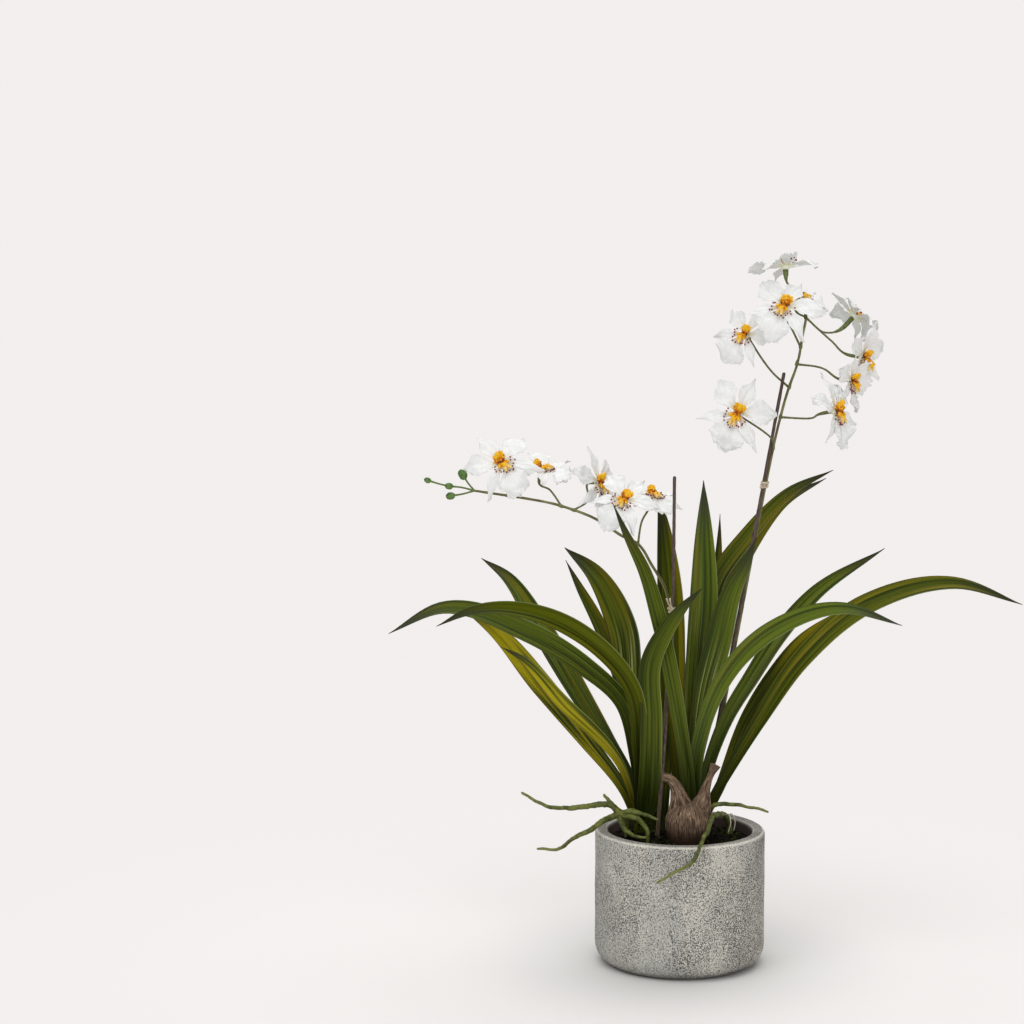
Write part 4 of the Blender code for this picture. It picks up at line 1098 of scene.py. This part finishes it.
def add_root(form, route, seed):
    """A knobbly root."""
    bent = []
    for index, place in enumerate(smooth_path(route, ROOT_STEPS)):
        share = ease(index / 8) * ease((ROOT_STEPS - index) / 4)
        spot = place * 0.09 + Vector((seed, 0, 0))
        shake = Vector([noise.noise(spot + Vector((0, 0, 17 * axis))) for axis in range(3)])
        bent.append(place + shake * 1.3 * share)
    tube(form, bent, ROOT_RADII, 14, 0, 0.28, 0.35, seed)


def build_roots(paint):
    form = Form()
    for order, route in enumerate(ROOTS_LEFT):
        add_root(form, route, order * 5)
    blob(form, ROOT_KNOT, (4.6, 3.6, 3.4), None, 12, 16, 0, 0.4, 0.3)
    piece("roots_left_fan", form, [paint], "roots_left")
    for node, route, threads in (("root_front", ROOT_FRONT, ROOT_THREADS), ("root_right", ROOT_RIGHT, ())):
        form = Form()
        add_root(form, route, ROOT_SEED)
        for bend in threads:
            tube(form, smooth_path(bend, 14), (0.5, 0.4, 0.3), 6, 0.8)
        piece(node + "_strand", form, [paint], node)


# Blooms

def tepal_share(kind, along):
    """Share of a tepal's width along it."""
    if kind == SEPAL:
        return (0.26 + 0.74 * ease(along / 0.55)) * (1 - 0.78 * ease((along - 0.55) / 0.45))
    if kind == PETAL:
        return (0.16 + 0.84 * ease(along / 0.6)) * (1 - 0.6 * ease((along - 0.68) / 0.32))
    return (0.13 + 0.87 * ease(along / 0.65)) * (1 - 0.4 * ease((along - 0.75) / 0.25))


def bloom_frame(centre, facing, lip, size):
    """Matrix of a bloom in millimetres: +Z is the way it faces and +X the way its lip points."""
    out = Vector(facing).normalized()
    down = Vector(lip)
    down = (down - out * down.dot(out)).normalized()
    side = out.cross(down)
    turn = Matrix((down, side, out)).transposed().to_4x4()
    return Matrix.Translation(Vector(centre)) @ turn @ Matrix.Scale(size, 4)


def add_tepal(form, frame_in, tepal, order, number, bend):
    """One ruffled and fringed tepal, each a little longer, wider, twisted or bent than the next."""
    angle, length, width, kind = tepal
    dice = random.Random(SEED + 100 * number + order)
    length *= dice.uniform(0.9, 1.05)
    width *= dice.uniform(0.86, 1.1)
    twist, sway, hook = dice.uniform(-0.5, 0.5), dice.uniform(-4, 4), dice.uniform(-1, 5)
    phase = 1.7 * number + 2.3 * order
    turn = frame_in @ Matrix.Rotation(radians(angle), 4, "Z")
    frill = {SEPAL: 0.7, PETAL: 1, LIP: 1.35}[kind]
    crumple = min(1, width / 26)
    surface, thick, notes = [], [], []
    for index in range(TEPAL_ROWS + 1):
        along = index / TEPAL_ROWS
        reach = TEPAL_START + length * along
        half = width * tepal_share(kind, along) / 2
        height = 1.2 * sin(pi * along) - bend * along ** 2 - hook * ease((along - 0.6) / 0.4) * along
        roll = twist * ease((along - 0.15) / 0.85)
        line = []
        for column in range(TEPAL_COLUMNS + 1):
            share = column / TEPAL_COLUMNS * 2 - 1
            wave = sin(7.5 * along + phase + (1.5 if share > 0 else 0))
            ruffle = RUFFLE * width * along * abs(share) ** 1.5 * wave
            brink = max(abs(share) ** 3 * ease(along / 0.25), ease((along - 0.72) / 0.28))
            crimp = drift(along * 11, share * 3, phase * 3)
            crimp += 0.35 * drift(along * 20, share * 5, phase * 5)
            ruffle += 2.4 * frill * crumple * brink * crimp
            ruffle += 1.9 * crumple * ease(along / 0.3) * drift(along * 4.5, share * 1.6, phase * 2)
            ruffle += 0.5 * crumple * (1 - abs(share)) * cos(9 * share + 3 * along + phase)
            end = reach - 0.15 * length * share ** 2 * along ** 3
            tear = drift(share * 7.5, phase * 2, 4) * ease((along - 0.8) / 0.2)
            end += 2 * frill * crumple * tear
            jag = drift(along * 17, phase, 9 + (3 if share > 0 else 0))
            spread = half * share * (1 + 0.14 * frill * jag * abs(share) ** 4)
            line.append(turn @ Vector((end, spread * cos(roll) + sway * along ** 2,
                                       height + ruffle + 0.1 * half * abs(share) + spread * sin(roll))))
            notes.append((along, (share + 1) / 2, 0, (order + number * 0.37) % 1))
        surface.append(line)
        thick.append([TEPAL_THICKNESS * (1.5 - along)] * (TEPAL_COLUMNS + 1))
    notes = np.array(notes).reshape(TEPAL_ROWS + 1, TEPAL_COLUMNS + 1, 4)
    form.blade(surface, thick, notes)


def add_cup(form, frame_in):
    """The small base that the tepals grow from."""
    def spot(index, angle, share):
        radius, height = CUP[index]
        return frame_in @ Vector((radius * cos(angle), -radius * sin(angle), height)), (0.1, share, 0, 0)

    form.skin(len(CUP), 24, spot)


def build_bloom(mark, number, row, paint):
    """The white body of a bloom, its tepals bent back all alike or one by one."""
    node, bend = "bloom_" + mark, row[4]
    frame_in = bloom_frame(*row[:4])
    form = Form()
    add_cup(form, frame_in)
    bends = bend if isinstance(bend, tuple) else (bend,) * len(TEPALS)
    for order, tepal in enumerate(OWN_TEPALS.get(node, TEPALS)):
        add_tepal(form, frame_in, tepal, order, number, bends[order])
    piece("petals_" + mark, form, [paint], node, angle=70)


def build_callus(mark, number, row, paints):
    """The orange callus of a bloom: lobes that part from one root, with maroon dots on threads round them."""
    size = row[3]
    frame_in = bloom_frame(*row[:4])
    form = Form()
    lift = CUP_DEPTH * 0.5
    for order, (route, radii, tone, lumps) in enumerate(LOBES):
        stretch = CREST_REACH.get(mark, 1) if order >= LOBES_BACK else 1
        places = [frame_in @ Vector((x, y, z * stretch + lift)) for x, y, z in smooth_path(route, 14)]
        tube(form, places, [radius * size for radius in radii], 20, tone, lumps, 0.42, number * 3 + order)
    dice = random.Random(SEED + number * 11)
    for step in range(DOTS):
        angle = (step - DOTS // 2) * 0.27 + dice.uniform(-0.1, 0.1)
        far = dice.uniform(7.5, 11)
        out = Vector((cos(angle), sin(angle), 0))
        high = Vector((0, 0, lift + dice.uniform(1.5, 4)))
        start = Vector((4, 0, 0))
        path = (start + out * 2, start + out * far * 0.55 + high, start + out * far + high * 0.9)
        places = [frame_in @ p for p in smooth_path(path, 7)]
        tube(form, places, (0.22, 0.2, 0.2), 5, paint=1, dome=False)
        blob(form, places[-1], (0.8, 0.8, 0.8), None, 5, 8, 0, 0.2, 0.5, paint=2)
    piece("crest_" + mark, form, paints, "callus_" + mark)


# Camera, light and floor

def build_stage():
    floor_mesh = bpy.data.meshes.new("floor")
    corners = [(x * FLOOR_REACH, y * FLOOR_REACH, 0) for x, y in ((-1, -1), (1, -1), (1, 1), (-1, 1))]
    floor_mesh.from_pydata(corners, [], [(0, 1, 2, 3)])
    floor_mesh.materials.append(floor_paint())
    add_object("floor", floor_mesh)
    world = bpy.data.worlds.new("studio")
    world.use_nodes = True
    nodes = Nodes(world.node_tree)
    cast = nodes.node("Background", {"Color": (1, 0.99, 0.98), "Strength": FILL})
    seen = nodes.node("Background", {"Color": BACKGROUND})
    nodes.blend(nodes.node("LightPath").outputs["Is Camera Ray"], cast, seen, "World Output")
    bpy.context.scene.world = world
    for name, place, power, wide in LIGHTS:
        light = bpy.data.lights.new(name, "SUN")
        light.energy = power
        light.angle = radians(wide)
        add_object(name, light).rotation_euler = (-Vector(place)).to_track_quat("-Z", "Y").to_euler()
    bpy.context.scene.view_settings.view_transform = "Standard"


def build_camera():
    lens = bpy.data.cameras.new("camera")
    lens.lens = FOCAL_PIXELS / PICTURE_PIXELS * SENSOR_WIDTH
    lens.sensor_width = SENSOR_WIDTH
    camera = add_object("camera", lens)
    camera.location = CAMERA_PLACE
    camera.rotation_euler = (radians(90 - CAMERA_DOWN), 0, radians(CAMERA_ROUND))
    bpy.context.scene.camera = camera


def main():
    build_camera()
    build_stage()
    build_pot(concrete_paint())
    build_soil(soil_paint())
    build_bulb(husk_paint())
    build_growth("left", SHEATH_LEFT, LEAVES_LEFT)
    build_growth("right", SHEATH_RIGHT, LEAVES_RIGHT)
    build_stakes(stick_paint())
    green = stem_paint()
    build_flower_stem("left", STEM_LEFT, PEDICELS_LEFT, BLOOMS_LEFT, BUDS, green)
    build_flower_stem("right", STEM_RIGHT, PEDICELS_RIGHT, BLOOMS_RIGHT, (), green)
    build_ties(tie_paint())
    build_roots(root_paint())
    white = petal_paint()
    crest = [callus_paint(), thread_paint(), dot_paint()]
    for tag, rows in (("r", BLOOMS_RIGHT), ("l", BLOOMS_LEFT)):
        for number, row in enumerate(rows, 1):
            mark = "%s%d" % (tag, number)
            order = number + (len(BLOOMS_RIGHT) if tag == "l" else 0)
            build_bloom(mark, order, row, white)
            build_callus(mark, order, row, crest)


main()
